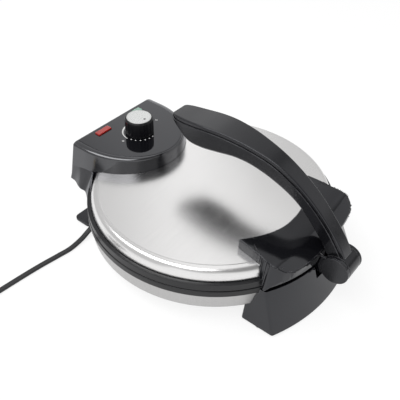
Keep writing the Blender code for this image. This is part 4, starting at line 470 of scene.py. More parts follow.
class RotiMakerStudio(bpy.types.PropertyGroup):
    """Light and camera."""

    ambient: FloatProperty(
        name="Ambient light", description="Strength of the light from all round", default=0.55, min=0.0,
        max=2.0,
    )
    key: FloatProperty(
        name="Key light", description="Power of the large soft light", default=8.6, min=0.0, max=50.0,
        subtype="POWER",
    )
    lens: FloatProperty(
        name="Lens", description="Focal length of the camera", default=51.0147, min=10.0, max=200.0,
        subtype="DISTANCE_CAMERA",
    )


# Points and outlines

def smooth_rows(rows, count):
    """Rows of numbers resampled along a smooth curve that passes through each row."""
    table = np.array(rows, float)
    padded = np.vstack([2 * table[0] - table[1], table, 2 * table[-1] - table[-2]])
    result = []
    for place in np.linspace(0.0, len(table) - 1.0, count):
        span = min(int(place), len(table) - 2)
        share = place - span
        before, start, end, after = padded[span:span + 4]
        slope_start = (end - before) / 2
        slope_end = (after - start) / 2
        square = share * share
        cube = square * share
        result.append(
            (2 * cube - 3 * square + 1) * start + (cube - 2 * square + share) * slope_start
            + (3 * square - 2 * cube) * end + (cube - square) * slope_end
        )
    return result


def filleted(points, radius, steps=4, closed=True):
    """A line of points with its corners rounded."""
    result = []
    count = len(points)
    for index, point in enumerate(points):
        corner = Vector(point)
        if not closed and index in (0, count - 1):
            result.append(tuple(corner))
            continue
        before = Vector(points[index - 1]) - corner
        after = Vector(points[(index + 1) % count]) - corner
        half = before.angle(after) / 2
        if half > NEARLY_STRAIGHT:
            result.append(tuple(corner))
            continue
        most = min(before.length, after.length) * LARGEST_CORNER_SHARE
        back = min(radius / math.tan(half), most)
        start = corner + before.normalized() * back
        end = corner + after.normalized() * back
        for step in range(steps + 1):
            share = step / steps
            mixed = start * (1 - share) ** 2 + corner * (2 * share * (1 - share)) + end * share ** 2
            result.append(tuple(mixed))
    return result


def spaced(route, spacing):
    """Points at an even spacing along a smooth curve through a route's points."""
    fine = np.array(smooth_rows(route, ROUTE_SAMPLES))
    steps = np.linalg.norm(np.diff(fine, axis=0), axis=1)
    along = np.concatenate([[0.0], np.cumsum(steps)])
    count = max(int(round(along[-1] / spacing)), 2)
    places = np.linspace(0.0, along[-1], count + 1)
    columns = [np.interp(places, along, fine[:, axis]) for axis in range(3)]
    return [tuple(float(value) for value in row) for row in zip(*columns)]


def rounded_rectangle(half_x, half_y, corner, height, middle=(0.0, 0.0), corner_steps=6):
    points = []
    for quarter, (side, rise) in enumerate(((1, 1), (-1, 1), (-1, -1), (1, -1))):
        for step in range(corner_steps + 1):
            angle = math.pi / 2 * (quarter + step / corner_steps)
            x = middle[0] + side * (half_x - corner) + corner * math.cos(angle)
            y = middle[1] + rise * (half_y - corner) + corner * math.sin(angle)
            points.append((x, y, height))
    return points


def circle(radius, height, middle=(0.0, 0.0), steps=DISC_STEPS):
    x, y = middle
    turns = [2 * math.pi * step / steps for step in range(steps)]
    return [(x + radius * math.cos(turn), y + radius * math.sin(turn), height) for turn in turns]


# Meshes

def lathe(profile, closed=True, steps=RING_STEPS):
    """A profile of radius and height turned about the vertical."""
    shape = bmesh.new()
    turns = [2 * math.pi * step / steps for step in range(steps)]
    rings = []
    for radius, height in profile:
        points = [(radius * math.cos(turn), radius * math.sin(turn), height) for turn in turns]
        if radius < TOUCHING:
            points = [(0.0, 0.0, height)]
        rings.append([shape.verts.new(point) for point in points])
    pairs = list(zip(rings, rings[1:]))
    if closed:
        pairs.append((rings[-1], rings[0]))
    for ring, following in pairs:
        for index in range(steps):
            beside = index + 1
            corners = (
                ring[index % len(ring)], ring[beside % len(ring)],
                following[beside % len(following)], following[index % len(following)],
            )
            unlike = list(dict.fromkeys(corners))
            if len(unlike) > 2:
                shape.faces.new(unlike)
    return shape


def loft(sections, caps=True):
    """A skin through sections with the same number of points; without caps the last joins the first."""
    shape = bmesh.new()
    rings = [[shape.verts.new(point) for point in section] for section in sections]
    pairs = list(zip(rings, rings[1:]))
    if not caps:
        pairs.append((rings[-1], rings[0]))
    for ring, following in pairs:
        for index in range(len(ring)):
            beside = (index + 1) % len(ring)
            shape.faces.new((ring[index], ring[beside], following[beside], following[index]))
    if caps:
        shape.faces.new(list(reversed(rings[0])))
        shape.faces.new(rings[-1])
    return shape


def block(low, high):
    shape = bmesh.new()
    size = Vector(high) - Vector(low)
    middle = Matrix.Translation((Vector(low) + Vector(high)) / 2)
    bmesh.ops.create_cube(shape, size=1.0, matrix=middle @ Matrix.Diagonal((*size, 1.0)))
    return shape


def rod(start, end, radius, sides=DISC_STEPS):
    shape = bmesh.new()
    along = Vector(end) - Vector(start)
    turn = along.to_track_quat("Z", "Y").to_matrix().to_4x4()
    middle = Matrix.Translation((Vector(start) + Vector(end)) / 2)
    bmesh.ops.create_cone(
        shape, cap_ends=True, segments=sides, radius1=radius, radius2=radius, depth=along.length,
        matrix=middle @ turn,
    )
    return shape


def soft_block(half_x, half_y, corner, low, high, edge, middle=(0.0, 0.0), below=False):
    """A block with round corners whose top edge, and bottom edge where asked, is rounded."""
    sections = []
    steps = 5
    if below:
        for step in range(steps):
            turn = math.pi / 2 * step / steps
            inset = edge * (1 - math.sin(turn))
            height = low + edge * (1 - math.cos(turn))
            size = (half_x - inset, half_y - inset, max(corner - inset, edge / 4))
            sections.append(rounded_rectangle(*size, height, middle))
    sections.append(rounded_rectangle(half_x, half_y, corner, low + (edge if below else 0.0), middle))
    for step in range(steps + 1):
        turn = math.pi / 2 * step / steps
        inset = edge * (1 - math.cos(turn))
        height = high - edge + edge * math.sin(turn)
        size = (half_x - inset, half_y - inset, max(corner - inset, edge / 4))
        sections.append(rounded_rectangle(*size, height, middle))
    return loft(sections)


def shaped(name, shape):
    """An object of a finished bmesh."""
    bmesh.ops.recalc_face_normals(shape, faces=shape.faces)
    mesh = bpy.data.meshes.new(name)
    shape.to_mesh(mesh)
    shape.free()
    obj = bpy.data.objects.new(name, mesh)
    bpy.context.scene.collection.objects.link(obj)
    return obj


def baked(obj):
    """Turns an object's modifiers into its mesh."""
    evaluated = obj.evaluated_get(bpy.context.evaluated_depsgraph_get())
    mesh = bpy.data.meshes.new_from_object(evaluated)
    obj.modifiers.clear()
    obj.data = mesh
    return obj


def combined(obj, shapes, operation="DIFFERENCE"):
    """The object after each shape is cut from it, joined to it or kept in common with it."""
    for number, shape in enumerate(shapes):
        other = shape if isinstance(shape, bpy.types.Object) else shaped(f"{obj.name}_tool_{number}", shape)
        modifier = obj.modifiers.new("combine", "BOOLEAN")
        modifier.operation = operation
        modifier.solver = "EXACT"
        modifier.object = other
        baked(obj)
        bpy.data.objects.remove(other, do_unlink=True)
    if not obj.data.polygons:
        raise RuntimeError(f"{obj.name} came out empty")
    return obj


def softened(obj, width, segments=3, angle=SHADING_ANGLE):
    bevel = obj.modifiers.new("soften", "BEVEL")
    bevel.width = width
    bevel.segments = segments
    bevel.limit_method = "ANGLE"
    bevel.angle_limit = angle
    bevel.use_clamp_overlap = False
    return baked(obj)


def dress(obj, body, slot, nodes=(), material=None, angle=SHADING_ANGLE):
    """Moves a new piece into the model's frame, shades it and fastens it to its body."""
    obj.data.transform(Matrix.Translation(PLATE_AXIS))
    obj.data.shade_smooth()
    obj.data.set_sharp_from_angle(angle=angle)
    evened = obj.modifiers.new("even_shading", "WEIGHTED_NORMAL")
    evened.keep_sharp = True
    baked(obj)
    obj.data.materials.clear()
    obj.data.materials.append(material or FINISHES[slot])
    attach(obj, body)
    if nodes:
        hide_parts(*nodes)
    return obj


# Material node groups

def node_group(name, inputs, outputs):
    tree = bpy.data.node_groups.new(name, "ShaderNodeTree")
    for label, value in inputs:
        socket = tree.interface.new_socket(name=label, in_out="INPUT", socket_type="NodeSocketFloat")
        socket.default_value = value
    for label in outputs:
        tree.interface.new_socket(name=label, in_out="OUTPUT", socket_type="NodeSocketFloat")
    return tree, tree.nodes.new("NodeGroupInput"), tree.nodes.new("NodeGroupOutput")


def add_node(tree, kind, settings=None, **inputs):
    node = tree.nodes.new("ShaderNode" + kind)
    for label, value in (settings or {}).items():
        setattr(node, label, value)
    for label, value in inputs.items():
        socket = node.inputs[label.replace("_", " ")]
        if isinstance(value, bpy.types.NodeSocket):
            tree.links.new(value, socket)
        else:
            socket.default_value = value
    return node


def arithmetic(tree, operation, first, second, clamp=False):
    node = tree.nodes.new("ShaderNodeMath")
    node.operation = operation
    node.use_clamp = clamp
    for socket, value in zip(node.inputs, (first, second)):
        if isinstance(value, bpy.types.NodeSocket):
            tree.links.new(value, socket)
        else:
            socket.default_value = value
    return node.outputs[0]


def make_fine_grain():
    """Moulded or cast surface: a fine height and a roughness that wanders."""
    inputs = (("Scale", 1200.0), ("Least roughness", 0.1), ("Most roughness", 0.3))
    tree, start, end = node_group("fine_grain", inputs, ("Roughness", "Height"))
    place = add_node(tree, "TexCoord").outputs["Object"]
    fine = add_node(tree, "TexNoise", Vector=place, Scale=start.outputs["Scale"], Detail=3.0)
    broad_scale = arithmetic(tree, "MULTIPLY", start.outputs["Scale"], BROAD_GRAIN_SCALE)
    broad = add_node(tree, "TexNoise", Vector=place, Scale=broad_scale, Detail=4.0, Roughness=0.6)
    mixed = arithmetic(tree, "MULTIPLY_ADD", broad.outputs["Fac"], BROAD_GRAIN_SHARE)
    fine_part = arithmetic(tree, "MULTIPLY", fine.outputs["Fac"], FINE_GRAIN_SHARE)
    tree.links.new(fine_part, mixed.node.inputs[2])
    spread = add_node(
        tree, "MapRange", Value=mixed, From_Min=0.3, From_Max=0.7, To_Min=start.outputs["Least roughness"],
        To_Max=start.outputs["Most roughness"],
    )
    tree.links.new(spread.outputs["Result"], end.inputs["Roughness"])
    tree.links.new(fine.outputs["Fac"], end.inputs["Height"])
    return tree


def make_wear_and_highlight_mask():
    """A mask along outer edges, broken up as rubbing breaks it up; it marks both scuffing and a painted
    highlight.
    """
    tree, start, end = node_group("edge_wear_and_highlight", (("Width", 0.0008), ("Strength", 6.0)), ("Mask",))
    rounded = add_node(tree, "Bevel", {"samples": 4}, Radius=start.outputs["Width"])
    true = add_node(tree, "NewGeometry")
    turn = tree.nodes.new("ShaderNodeVectorMath")
    turn.operation = "DOT_PRODUCT"
    tree.links.new(rounded.outputs["Normal"], turn.inputs[0])
    tree.links.new(true.outputs["Normal"], turn.inputs[1])
    bend = arithmetic(tree, "SUBTRACT", 1.0, turn.outputs["Value"])
    strong = arithmetic(tree, "MULTIPLY", bend, start.outputs["Strength"])
    place = add_node(tree, "TexCoord").outputs["Object"]
    patches = add_node(tree, "TexNoise", Vector=place, Scale=140.0, Detail=5.0, Roughness=0.65)
    broken = add_node(
        tree, "MapRange", Value=patches.outputs["Fac"], From_Min=0.42, From_Max=0.62, To_Min=0.15, To_Max=1.0
    )
    mask = arithmetic(tree, "MULTIPLY", strong, broken.outputs["Result"], clamp=True)
    tree.links.new(mask, end.inputs["Mask"])
    return tree


def make_brushed_lines():
    """Straight brushing: long thin streaks that run along X."""
    inputs = (("Along", 14.0), ("Across", 2600.0))
    tree, start, end = node_group("brushed_lines", inputs, ("Lines", "Height"))
    place = add_node(tree, "TexCoord").outputs["Object"]
    stretch = add_node(
        tree, "CombineXYZ", X=start.outputs["Along"], Y=start.outputs["Across"], Z=start.outputs["Along"]
    )
    scaled = tree.nodes.new("ShaderNodeVectorMath")
    scaled.operation = "MULTIPLY"
    tree.links.new(place, scaled.inputs[0])
    tree.links.new(stretch.outputs["Vector"], scaled.inputs[1])
    streaks = add_node(
        tree, "TexNoise", Vector=scaled.outputs["Vector"], Scale=1.0, Detail=3.0, Roughness=0.7
    )
    tree.links.new(streaks.outputs["Fac"], end.inputs["Height"])
    evened = add_node(tree, "MapRange", Value=streaks.outputs["Fac"], From_Min=0.3, From_Max=0.7)
    tree.links.new(evened.outputs["Result"], end.inputs["Lines"])
    return tree


def make_smudges():
    """Soft patches of handling and dust."""
    tree, start, end = node_group("smudges", (("Scale", 22.0), ("Cover", 0.5)), ("Mask",))
    place = add_node(tree, "TexCoord").outputs["Object"]
    cloud = add_node(
        tree, "TexNoise", Vector=place, Scale=start.outputs["Scale"], Detail=6.0, Roughness=0.62,
        Distortion=0.6,
    )
    covered = arithmetic(tree, "MULTIPLY", start.outputs["Cover"], SMUDGE_COVER_SHARE)
    low = arithmetic(tree, "SUBTRACT", CLEAN_LEVEL, covered)
    mask = add_node(tree, "MapRange", Value=cloud.outputs["Fac"], From_Min=low, From_Max=0.85)
    tree.links.new(mask.outputs["Result"], end.inputs["Mask"])
    return tree


def make_groups():
    return {
        "fine_grain": make_fine_grain(),
        "edge_wear_and_highlight": make_wear_and_highlight_mask(),
        "brushed_lines": make_brushed_lines(),
        "smudges": make_smudges(),
    }


GROUPS = {}
FINISHES = {}


def use_group(tree, name, **values):
    node = tree.nodes.new("ShaderNodeGroup")
    node.node_tree = GROUPS[name]
    for label, value in values.items():
        node.inputs[label.replace("_", " ")].default_value = value
    return node


def mixed_colour(tree, share, first, second):
    """Two colours mixed; a mix node has its colours at inputs 6 and 7 and at output 2."""
    node = tree.nodes.new("ShaderNodeMix")
    node.data_type = "RGBA"
    tree.links.new(share, node.inputs[0])
    for socket, value in ((node.inputs[6], first), (node.inputs[7], second)):
        if isinstance(value, bpy.types.NodeSocket):
            tree.links.new(value, socket)
        else:
            socket.default_value = (*value, 1.0)
    return node.outputs[2]


def blank_material(name, colour, **values):
    """A material with inputs of its shader set by name, where an underscore stands for a space."""
    material = bpy.data.materials.new(name)
    material.use_nodes = True
    material.diffuse_color = (*colour, 1.0)
    tree = material.node_tree
    shader = tree.nodes["Principled BSDF"]
    for label, value in values.items():
        shader.inputs[label.replace("_", " ")].default_value = value
    return material, tree, shader


def moulded(name, colour, wear_highlight_and_dust_colour, least, most, grain, depth=0.00001, wear_and_highlight=0.5, dust=0.25, **values):
    """Moulded plastic, rubber or ceramic: grain, handling smudges, and edges turned to another colour, which
    is partly scuffing and partly a painted highlight.
    """
    material, tree, shader = blank_material(name, colour, **values)
    grained = use_group(tree, "fine_grain", Scale=grain, Least_roughness=least, Most_roughness=most)
    edges = use_group(tree, "edge_wear_and_highlight")
    patches = use_group(tree, "smudges")
    # Edges take the paler colour: partly scuffing, partly a painted highlight along them.
    share = arithmetic(tree, "MULTIPLY", edges.outputs["Mask"], wear_and_highlight)
    dusty = arithmetic(tree, "MULTIPLY", patches.outputs["Mask"], dust)
    total = arithmetic(tree, "ADD", share, dusty, clamp=True)
    tree.links.new(mixed_colour(tree, total, colour, wear_highlight_and_dust_colour), shader.inputs["Base Color"])
    rubbed = arithmetic(tree, "MULTIPLY_ADD", total, RUBBED_ROUGHNESS)
    tree.links.new(grained.outputs["Roughness"], rubbed.node.inputs[2])
    tree.links.new(rubbed, shader.inputs["Roughness"])
    bump = add_node(tree, "Bump", Strength=0.6, Distance=depth, Height=grained.outputs["Height"])
    tree.links.new(bump.outputs["Normal"], shader.inputs["Normal"])
    FINISHES[name] = material


def brushed(name, colour, dull, roughness, spread, depth, across=2600.0, along=14.0):
    """Brushed sheet metal: streaks in colour, roughness and height, and soft stains."""
    material, tree, shader = blank_material(name, colour, Metallic=1.0)
    lines = use_group(tree, "brushed_lines", Along=along, Across=across)
    patches = use_group(tree, "smudges", Scale=9.0, Cover=0.6)
    share = arithmetic(tree, "MULTIPLY", lines.outputs["Lines"], BRUSHING_SHARE)
    stained = arithmetic(tree, "MULTIPLY_ADD", patches.outputs["Mask"], STAIN_SHARE)
    tree.links.new(share, stained.node.inputs[2])
    tree.links.new(mixed_colour(tree, stained, colour, dull), shader.inputs["Base Color"])
    spreading = add_node(
        tree, "MapRange", Value=lines.outputs["Lines"], From_Min=0.0, From_Max=1.0, To_Min=roughness - spread,
        To_Max=roughness + spread,
    )
    rougher = arithmetic(tree, "MULTIPLY_ADD", patches.outputs["Mask"], STAIN_ROUGHNESS)
    tree.links.new(spreading.outputs["Result"], rougher.node.inputs[2])
    tree.links.new(rougher, shader.inputs["Roughness"])
    bump = add_node(tree, "Bump", Strength=0.35, Distance=depth, Height=lines.outputs["Height"])
    tree.links.new(bump.outputs["Normal"], shader.inputs["Normal"])
    FINISHES[name] = material


def spun(name, colour, dull, roughness, spread, middle, rings, metallic=1.0, depth=0.000004):
    """A face turned on a lathe: fine rings round an upright axis."""
    material, tree, shader = blank_material(name, colour, Metallic=metallic)
    place = add_node(tree, "TexCoord").outputs["Object"]
    centred = tree.nodes.new("ShaderNodeVectorMath")
    centred.operation = "SUBTRACT"
    tree.links.new(place, centred.inputs[0])
    centred.inputs[1].default_value = middle
    flat = tree.nodes.new("ShaderNodeVectorMath")
    flat.operation = "MULTIPLY"
    flat.inputs[1].default_value = (1.0, 1.0, 0.0)
    tree.links.new(centred.outputs["Vector"], flat.inputs[0])
    reach = tree.nodes.new("ShaderNodeVectorMath")
    reach.operation = "LENGTH"
    tree.links.new(flat.outputs["Vector"], reach.inputs[0])
    ring = add_node(tree, "TexNoise", {"noise_dimensions": "1D"}, Scale=rings, Detail=2.0)
    tree.links.new(reach.outputs["Value"], ring.inputs["W"])
    evened = add_node(tree, "MapRange", Value=ring.outputs["Fac"], From_Min=0.3, From_Max=0.7)
    patches = use_group(tree, "smudges", Scale=30.0, Cover=0.55)
    share = arithmetic(tree, "MULTIPLY", evened.outputs["Result"], SPUN_RING_SHARE)
    stained = arithmetic(tree, "MULTIPLY_ADD", patches.outputs["Mask"], SPUN_STAIN_SHARE)
    tree.links.new(share, stained.node.inputs[2])
    tree.links.new(mixed_colour(tree, stained, colour, dull), shader.inputs["Base Color"])
    spreading = add_node(
        tree, "MapRange", Value=stained, From_Min=0.0, From_Max=0.8, To_Min=roughness - spread,
        To_Max=roughness + spread,
    )
    tree.links.new(spreading.outputs["Result"], shader.inputs["Roughness"])
    bump = add_node(tree, "Bump", Strength=0.4, Distance=depth, Height=ring.outputs["Fac"])
    tree.links.new(bump.outputs["Normal"], shader.inputs["Normal"])
    FINISHES[name] = material


def lens_material(name, colour, deep):
    """Clear coloured plastic over a small lamp, deeper in colour along its edges."""
    moulded(
        name, colour, deep, 0.05, 0.12, 700.0, 0.000003, wear_and_highlight=0.3, dust=0.1, Transmission_Weight=0.35,
        IOR=1.49, Coat_Weight=0.6, Coat_Roughness=0.04,
    )


def darker(colour, share):
    return tuple(share * value for value in colour)


def make_finishes(finish):
    """One material for each finish of the record, and a few more for pieces that differ from theirs; the
    pan's steel and the lever's lower shell are copies with painted shade and a painted highlight.
    """
    gloss = tuple(finish.gloss_black)
    satin = tuple(finish.satin_black)
    steel = tuple(finish.steel)
    # The pan's steel is the cover's steel made darker: painted shade.
    shaded_pan_steel = darker(steel, PAN_SHADE_SHARE)
    dull_shaded_pan = darker(shaded_pan_steel, DULL_PAN_SHARE)
    rough = finish.steel_roughness
    axis = (*PLATE_AXIS.xy, 0.0)
    # The pale edge colours of the black mouldings below are partly scuffing and partly a painted highlight
    # along their edges.
    moulded(
        "gloss_black", gloss, (0.17, 0.17, 0.18), 0.08, 0.15, 900.0, wear_and_highlight=0.6, dust=0.03,
        Specular_Tint=COOL_TINT, Specular_IOR_Level=0.75,
    )
    moulded(
        "housing_black", gloss, (0.17, 0.17, 0.18), 0.10, 0.17, 900.0, wear_and_highlight=0.6, dust=0.04,
        Specular_IOR_Level=1.0, Coat_Weight=0.8, Coat_Roughness=0.12, Coat_Tint=COOL_TINT,
    )
    moulded(
        "knob_black", gloss, (0.10, 0.10, 0.105), 0.24, 0.34, 1400.0, wear_and_highlight=0.5, dust=0.02,
        Specular_IOR_Level=0.35,
    )
    moulded("ring_black", gloss, (0.12, 0.12, 0.125), 0.26, 0.36, 1100.0, wear_and_highlight=0.8, dust=0.04)
    moulded(
        "panel_black", gloss, (0.06, 0.06, 0.065), 0.03, 0.07, 700.0, 0.000004, wear_and_highlight=0.4, dust=0.05,
        Coat_Weight=0.4, Coat_Tint=COOL_TINT, Specular_Tint=COOL_TINT,
    )
    moulded(
        "satin_black", satin, (0.24, 0.24, 0.25), 0.17, 0.28, 2600.0, 0.00002, wear_and_highlight=0.8, dust=0.02,
        Specular_Tint=COOL_TINT, Specular_IOR_Level=0.65,
    )
    # The lever's lower shell: the satin black with a paler edge colour at a higher share, a painted highlight
    # along its seam and edges.
    moulded(
        "lever_black_painted_highlight", satin, (0.42, 0.42, 0.44), 0.15, 0.25, 2600.0, 0.000015, wear_and_highlight=0.9, dust=0.01,
        Specular_Tint=COOL_TINT,
    )
    brushed("brushed_steel", steel, darker(steel, DULL_STEEL_SHARE), rough, 0.025, 0.0000015)
    brushed("shaded_pan_steel", shaded_pan_steel, dull_shaded_pan, rough + PAN_EXTRA_ROUGHNESS, 0.05, 0.000005)
    brushed("plain_steel", (0.58, 0.58, 0.58), (0.40, 0.40, 0.41), 0.36, 0.08, 0.00001, 900.0, 300.0)
    spun(
        "coated_aluminium", (0.028, 0.028, 0.030), (0.055, 0.055, 0.058), 0.36, 0.08, axis, 900.0, 0.15,
        0.00003,
    )
    spun("shiny_aluminium", (0.84, 0.84, 0.85), (0.68, 0.68, 0.70), 0.22, 0.06, axis, 1500.0)
    spun(
        "silver_cap", (0.80, 0.81, 0.80), (0.62, 0.63, 0.63), 0.30, 0.06,
        (0.0, KNOB_REACH + PLATE_AXIS.y, 0.0), 3200.0, 0.85,
    )
    lens_material("red_lens", tuple(finish.red_lens), (0.30, 0.01, 0.01))
    lens_material("green_lens", tuple(finish.green_lens), (0.03, 0.20, 0.08))
    moulded(
        "lamp_glass", (0.85, 0.60, 0.48), (0.70, 0.42, 0.30), 0.05, 0.12, 500.0, Transmission_Weight=0.6
    )
    moulded("ceramic", (0.78, 0.76, 0.70), (0.60, 0.57, 0.50), 0.45, 0.62, 800.0, 0.00004, dust=0.4)
    brushed("brass", (0.74, 0.57, 0.30), (0.58, 0.43, 0.22), 0.28, 0.07, 0.000008, 1500.0)
    moulded(
        "black_rubber", (0.026, 0.026, 0.027), (0.09, 0.09, 0.09), 0.55, 0.75, 1800.0, 0.00006, dust=0.35
    )
    moulded(
        "black_cord", (0.030, 0.030, 0.032), (0.09, 0.09, 0.095), 0.30, 0.42, 1400.0, 0.00003, dust=0.3
    )
    moulded("white_print", (0.88, 0.88, 0.87), (0.55, 0.55, 0.55), 0.35, 0.5, 2500.0, 0.00001, dust=0.6)
    moulded("dark_mark", (0.03, 0.03, 0.03), (0.08, 0.08, 0.08), 0.4, 0.55, 2500.0, 0.00001)


# Shapes that more than one piece needs

def cover_line(crease, offset=0.0):
    """The lid cover's outer line from the middle to the skirt, with the crease near the rim."""
    dome = smooth_rows(DOME_SHARES, DOME_ROWS)
    rim = smooth_rows(RIM_SHARES, RIM_ROWS)
    points = []
    for reach_share, rise_share in dome:
        points.append(((LID_RADIUS + offset) * reach_share, LID_RING_TOP + DOME_RISE * rise_share + offset))
    last_reach, last_height = points[-1]
    for share in CREASE_FLOOR_SHARES:
        points.append((last_reach + CREASE_WIDTH * share, last_height - crease))
    for reach_share, rise_share in rim[CREASE_ROWS:]:
        points.append(((LID_RADIUS + offset) * reach_share, LID_RING_TOP + DOME_RISE * rise_share + offset))
    return points


def lid_clearance():
    """The lid's cover and ring with a gap round them, to be cut from what sits on them."""
    line = cover_line(0.0, GAP)
    line += [
        (LID_RADIUS + GAP, LID_RING_TOP + GAP), (LID_RING_RADIUS + GAP, LID_RING_TOP + GAP),
        (LID_RING_RADIUS + GAP, LID_BOTTOM - OVERRUN), (0.0, LID_BOTTOM - OVERRUN),
    ]
    return lathe(line, closed=False, steps=CLEARANCE_STEPS)


def base_clearance():
    """The pan, its ring and its floor with a gap round them, to be cut from what holds them."""
    side = PAN_FOOT_RADIUS + GAP
    return lathe(
        [
            (0.0, LID_BOTTOM + OVERRUN), (BASE_RING_RADIUS + GAP, LID_BOTTOM + OVERRUN),
            (BASE_RING_RADIUS + GAP, PAN_TOP - GAP), (PAN_RADIUS + GAP, PAN_TOP - GAP),
            (side, PAN_BOTTOM + PAN_CORNER), (side - PAN_CORNER, PAN_BOTTOM - GAP),
            (BASE_FLOOR_RADIUS + GAP, PAN_BOTTOM - GAP), (BASE_FLOOR_RADIUS + GAP, BASE_FLOOR_HEIGHT - GAP),
            (0.0, BASE_FLOOR_HEIGHT - GAP),
        ],
        closed=False,
        steps=CLEARANCE_STEPS,
    )


def housing_outline(half_width, front_reach, rear, height):
    """The housing's D-shaped plan: half an ellipse at the front, straight sides, rounded rear corners."""
    points = []
    for step in range(HOUSING_ARC_STEPS + 1):
        angle = math.pi * step / HOUSING_ARC_STEPS
        points.append((half_width * math.cos(angle), HOUSING_CENTRE - front_reach * math.sin(angle), height))
    corner_steps = 8
    for side in (-1.0, 1.0):
        for step in range(corner_steps + 1):
            angle = math.pi / 2 * step / corner_steps
            turn = angle if side < 0 else math.pi / 2 - angle
            x = half_width - HOUSING_CORNER + HOUSING_CORNER * math.cos(turn)
            y = rear - HOUSING_CORNER + HOUSING_CORNER * math.sin(turn)
            points.append((side * x, y, height))
    return points


def housing_half_width(height):
    """Half the housing's width, which grows downward below the shoulder."""
    return HOUSING_HALF_WIDTH + HOUSING_DRAFT_SHARE * max(HOUSING_SHOULDER_HEIGHT - height, 0.0)


def housing_walls(low, high, grow=0.0, rear_grow=0.0):
    front_reach = HOUSING_FRONT_REACH + grow
    rear = HOUSING_REAR + rear_grow
    sections = []
    for height in (low, high):
        sections.append(housing_outline(housing_half_width(height) + grow, front_reach, rear, height))
    return sections


def panel_outline(grow, height):
    front = HOUSING_FRONT_REACH - HOUSING_FRONT_EDGE - PANEL_RIM + grow
    rear = HOUSING_REAR - HOUSING_FRONT_EDGE - PANEL_RIM + grow
    return housing_outline(PANEL_HALF_WIDTH + grow, front, rear, height)


def cell_boxes(count, width, rear, depth):
    """Open cells side by side that lighten a leg from below."""
    roof = BASE_FLOOR_HEIGHT - GAP - CELL_ROOF
    cells = []
    for index in range(count):
        middle = (index - (count - 1) / 2) * (width + CELL_RIB)
        low = (middle - width / 2, rear, LEG_FOOT_HEIGHT - OVERRUN)
        cells.append(block(low, (middle + width / 2, rear + depth, roof)))
    return cells


# Camera

def make_camera(studio):
    data = bpy.data.cameras.new("photo_camera")
    data.lens = studio.lens
    data.sensor_width = SENSOR_WIDTH
    data.shift_x, data.shift_y = CAMERA_SHIFT
    data.clip_start = CLIP_START
    data.clip_end = CLIP_END
    camera = bpy.data.objects.new("photo_camera", data)
    camera.location = CAMERA_PLACE
    camera.rotation_euler = tuple(math.radians(turn) for turn in CAMERA_TURN_DEGREES)
    bpy.context.scene.collection.objects.link(camera)
    bpy.context.scene.camera = camera


# Mains cord

def coil_points():
    """Turns that wind in on the lower layer, climb in the middle and wind out on the upper one."""
    points = []
    low = COIL_LIFT + CORD_THICKNESS / 2
    climb_start = (COIL_TURNS - COIL_CLIMB_TURNS) / 2
    for step in range(COIL_TURNS * COIL_POINTS_PER_TURN + 1):
        turn = step / COIL_POINTS_PER_TURN
        radius = COIL_OUTER_RADIUS - COIL_TURN_STEP * min(turn, COIL_TURNS - turn)
        share = min(max((turn - climb_start) / COIL_CLIMB_TURNS, 0.0), 1.0)
        height = low + COIL_LAYER_STEP * share * share * (3.0 - 2.0 * share)
        angle = -math.pi / 2 - 2 * math.pi * turn
        x = COIL_CENTRE[0] + radius * math.cos(angle)
        points.append((x, COIL_CENTRE[1] + radius * math.sin(angle), height))
    return points


def cord_section():
    """The flat twin cord's outline: two round cores side by side with a shallow groove between them."""
    points = []
    for step in range(CORD_SECTION_STEPS):
        turn = 2 * math.pi * step / CORD_SECTION_STEPS
        across = math.copysign(abs(math.cos(turn)) ** CORD_OUTLINE_POWER, math.cos(turn))
        rise = math.copysign(abs(math.sin(turn)) ** CORD_OUTLINE_POWER, math.sin(turn))
        groove = 1.0 - CORD_GROOVE_DEPTH_SHARE * math.exp(-(across / CORD_GROOVE_WIDTH_SHARE) ** 2)
        points.append((CORD_WIDTH / 2 * across, CORD_THICKNESS / 2 * rise * groove))
    return points


def make_cord():
    """The whole mains lead as one tube, with its gland, tie and plug."""
    path = spaced(CORD_ROUTE, CORD_POINT_SPACING) + coil_points() + spaced(TAIL_ROUTE, CORD_POINT_SPACING)
    places = [Vector(point) for point in path]
    section = cord_section()
    rings = []
    for index, place in enumerate(places):
        before = places[max(index - 1, 0)]
        after = places[min(index + 1, len(places) - 1)]
        along = (after - before).normalized()
        across = along.cross(Vector((0.0, 0.0, 1.0))).normalized()
        upward = across.cross(along)
        rings.append([place + across * x + upward * z for x, z in section])
    cord = shaped("mains_cord", loft(rings))
    dress(cord, "base", "black_cord", ("power_cord", "cord_coil", "cord_tail"), angle=BLUNT_ANGLE)
    pieces = [make_gland(), make_tie(), make_plug()]
    pieces += [frame["nodes"]["plug_blade_" + word] for word in ("left", "right")]


def make_gland():
    """Ribbed rubber sleeve where the cord leaves the rear stand."""
    profile = [(0.0, GLAND_LENGTH + GAP), (GLAND_NARROW_RADIUS - GAP, GLAND_LENGTH + GAP)]
    run = GLAND_LENGTH - WALL - 2 * GAP
    for rib in range(GLAND_RIBS):
        for share, dip_share in GLAND_RIB_SHARES:
            along = GLAND_LENGTH - run * (rib + share) / GLAND_RIBS
            taper = (GLAND_LENGTH - along) / GLAND_LENGTH
            radius = GLAND_NARROW_RADIUS + (GLAND_WIDE_RADIUS - GLAND_NARROW_RADIUS) * taper
            profile.append((radius - GLAND_DIP * dip_share, along))
    profile += [(GLAND_WIDE_RADIUS, WALL), (GLAND_WIDE_RADIUS, GAP), (0.0, GAP)]
    shape = lathe(filleted(profile, GLAND_EDGE, 2, closed=False), closed=False, steps=GLAND_STEPS)
    place = Matrix.Translation((-STAND_BLOCK_HALF_WIDTH, GLAND_REACH, GLAND_HEIGHT))
    turn = Matrix.Rotation(-math.pi / 2, 4, "Y")
    bmesh.ops.transform(shape, matrix=place @ turn, verts=shape.verts)
    return dress(shaped("cord_gland", shape), "base", "black_rubber", ("strain_relief",))


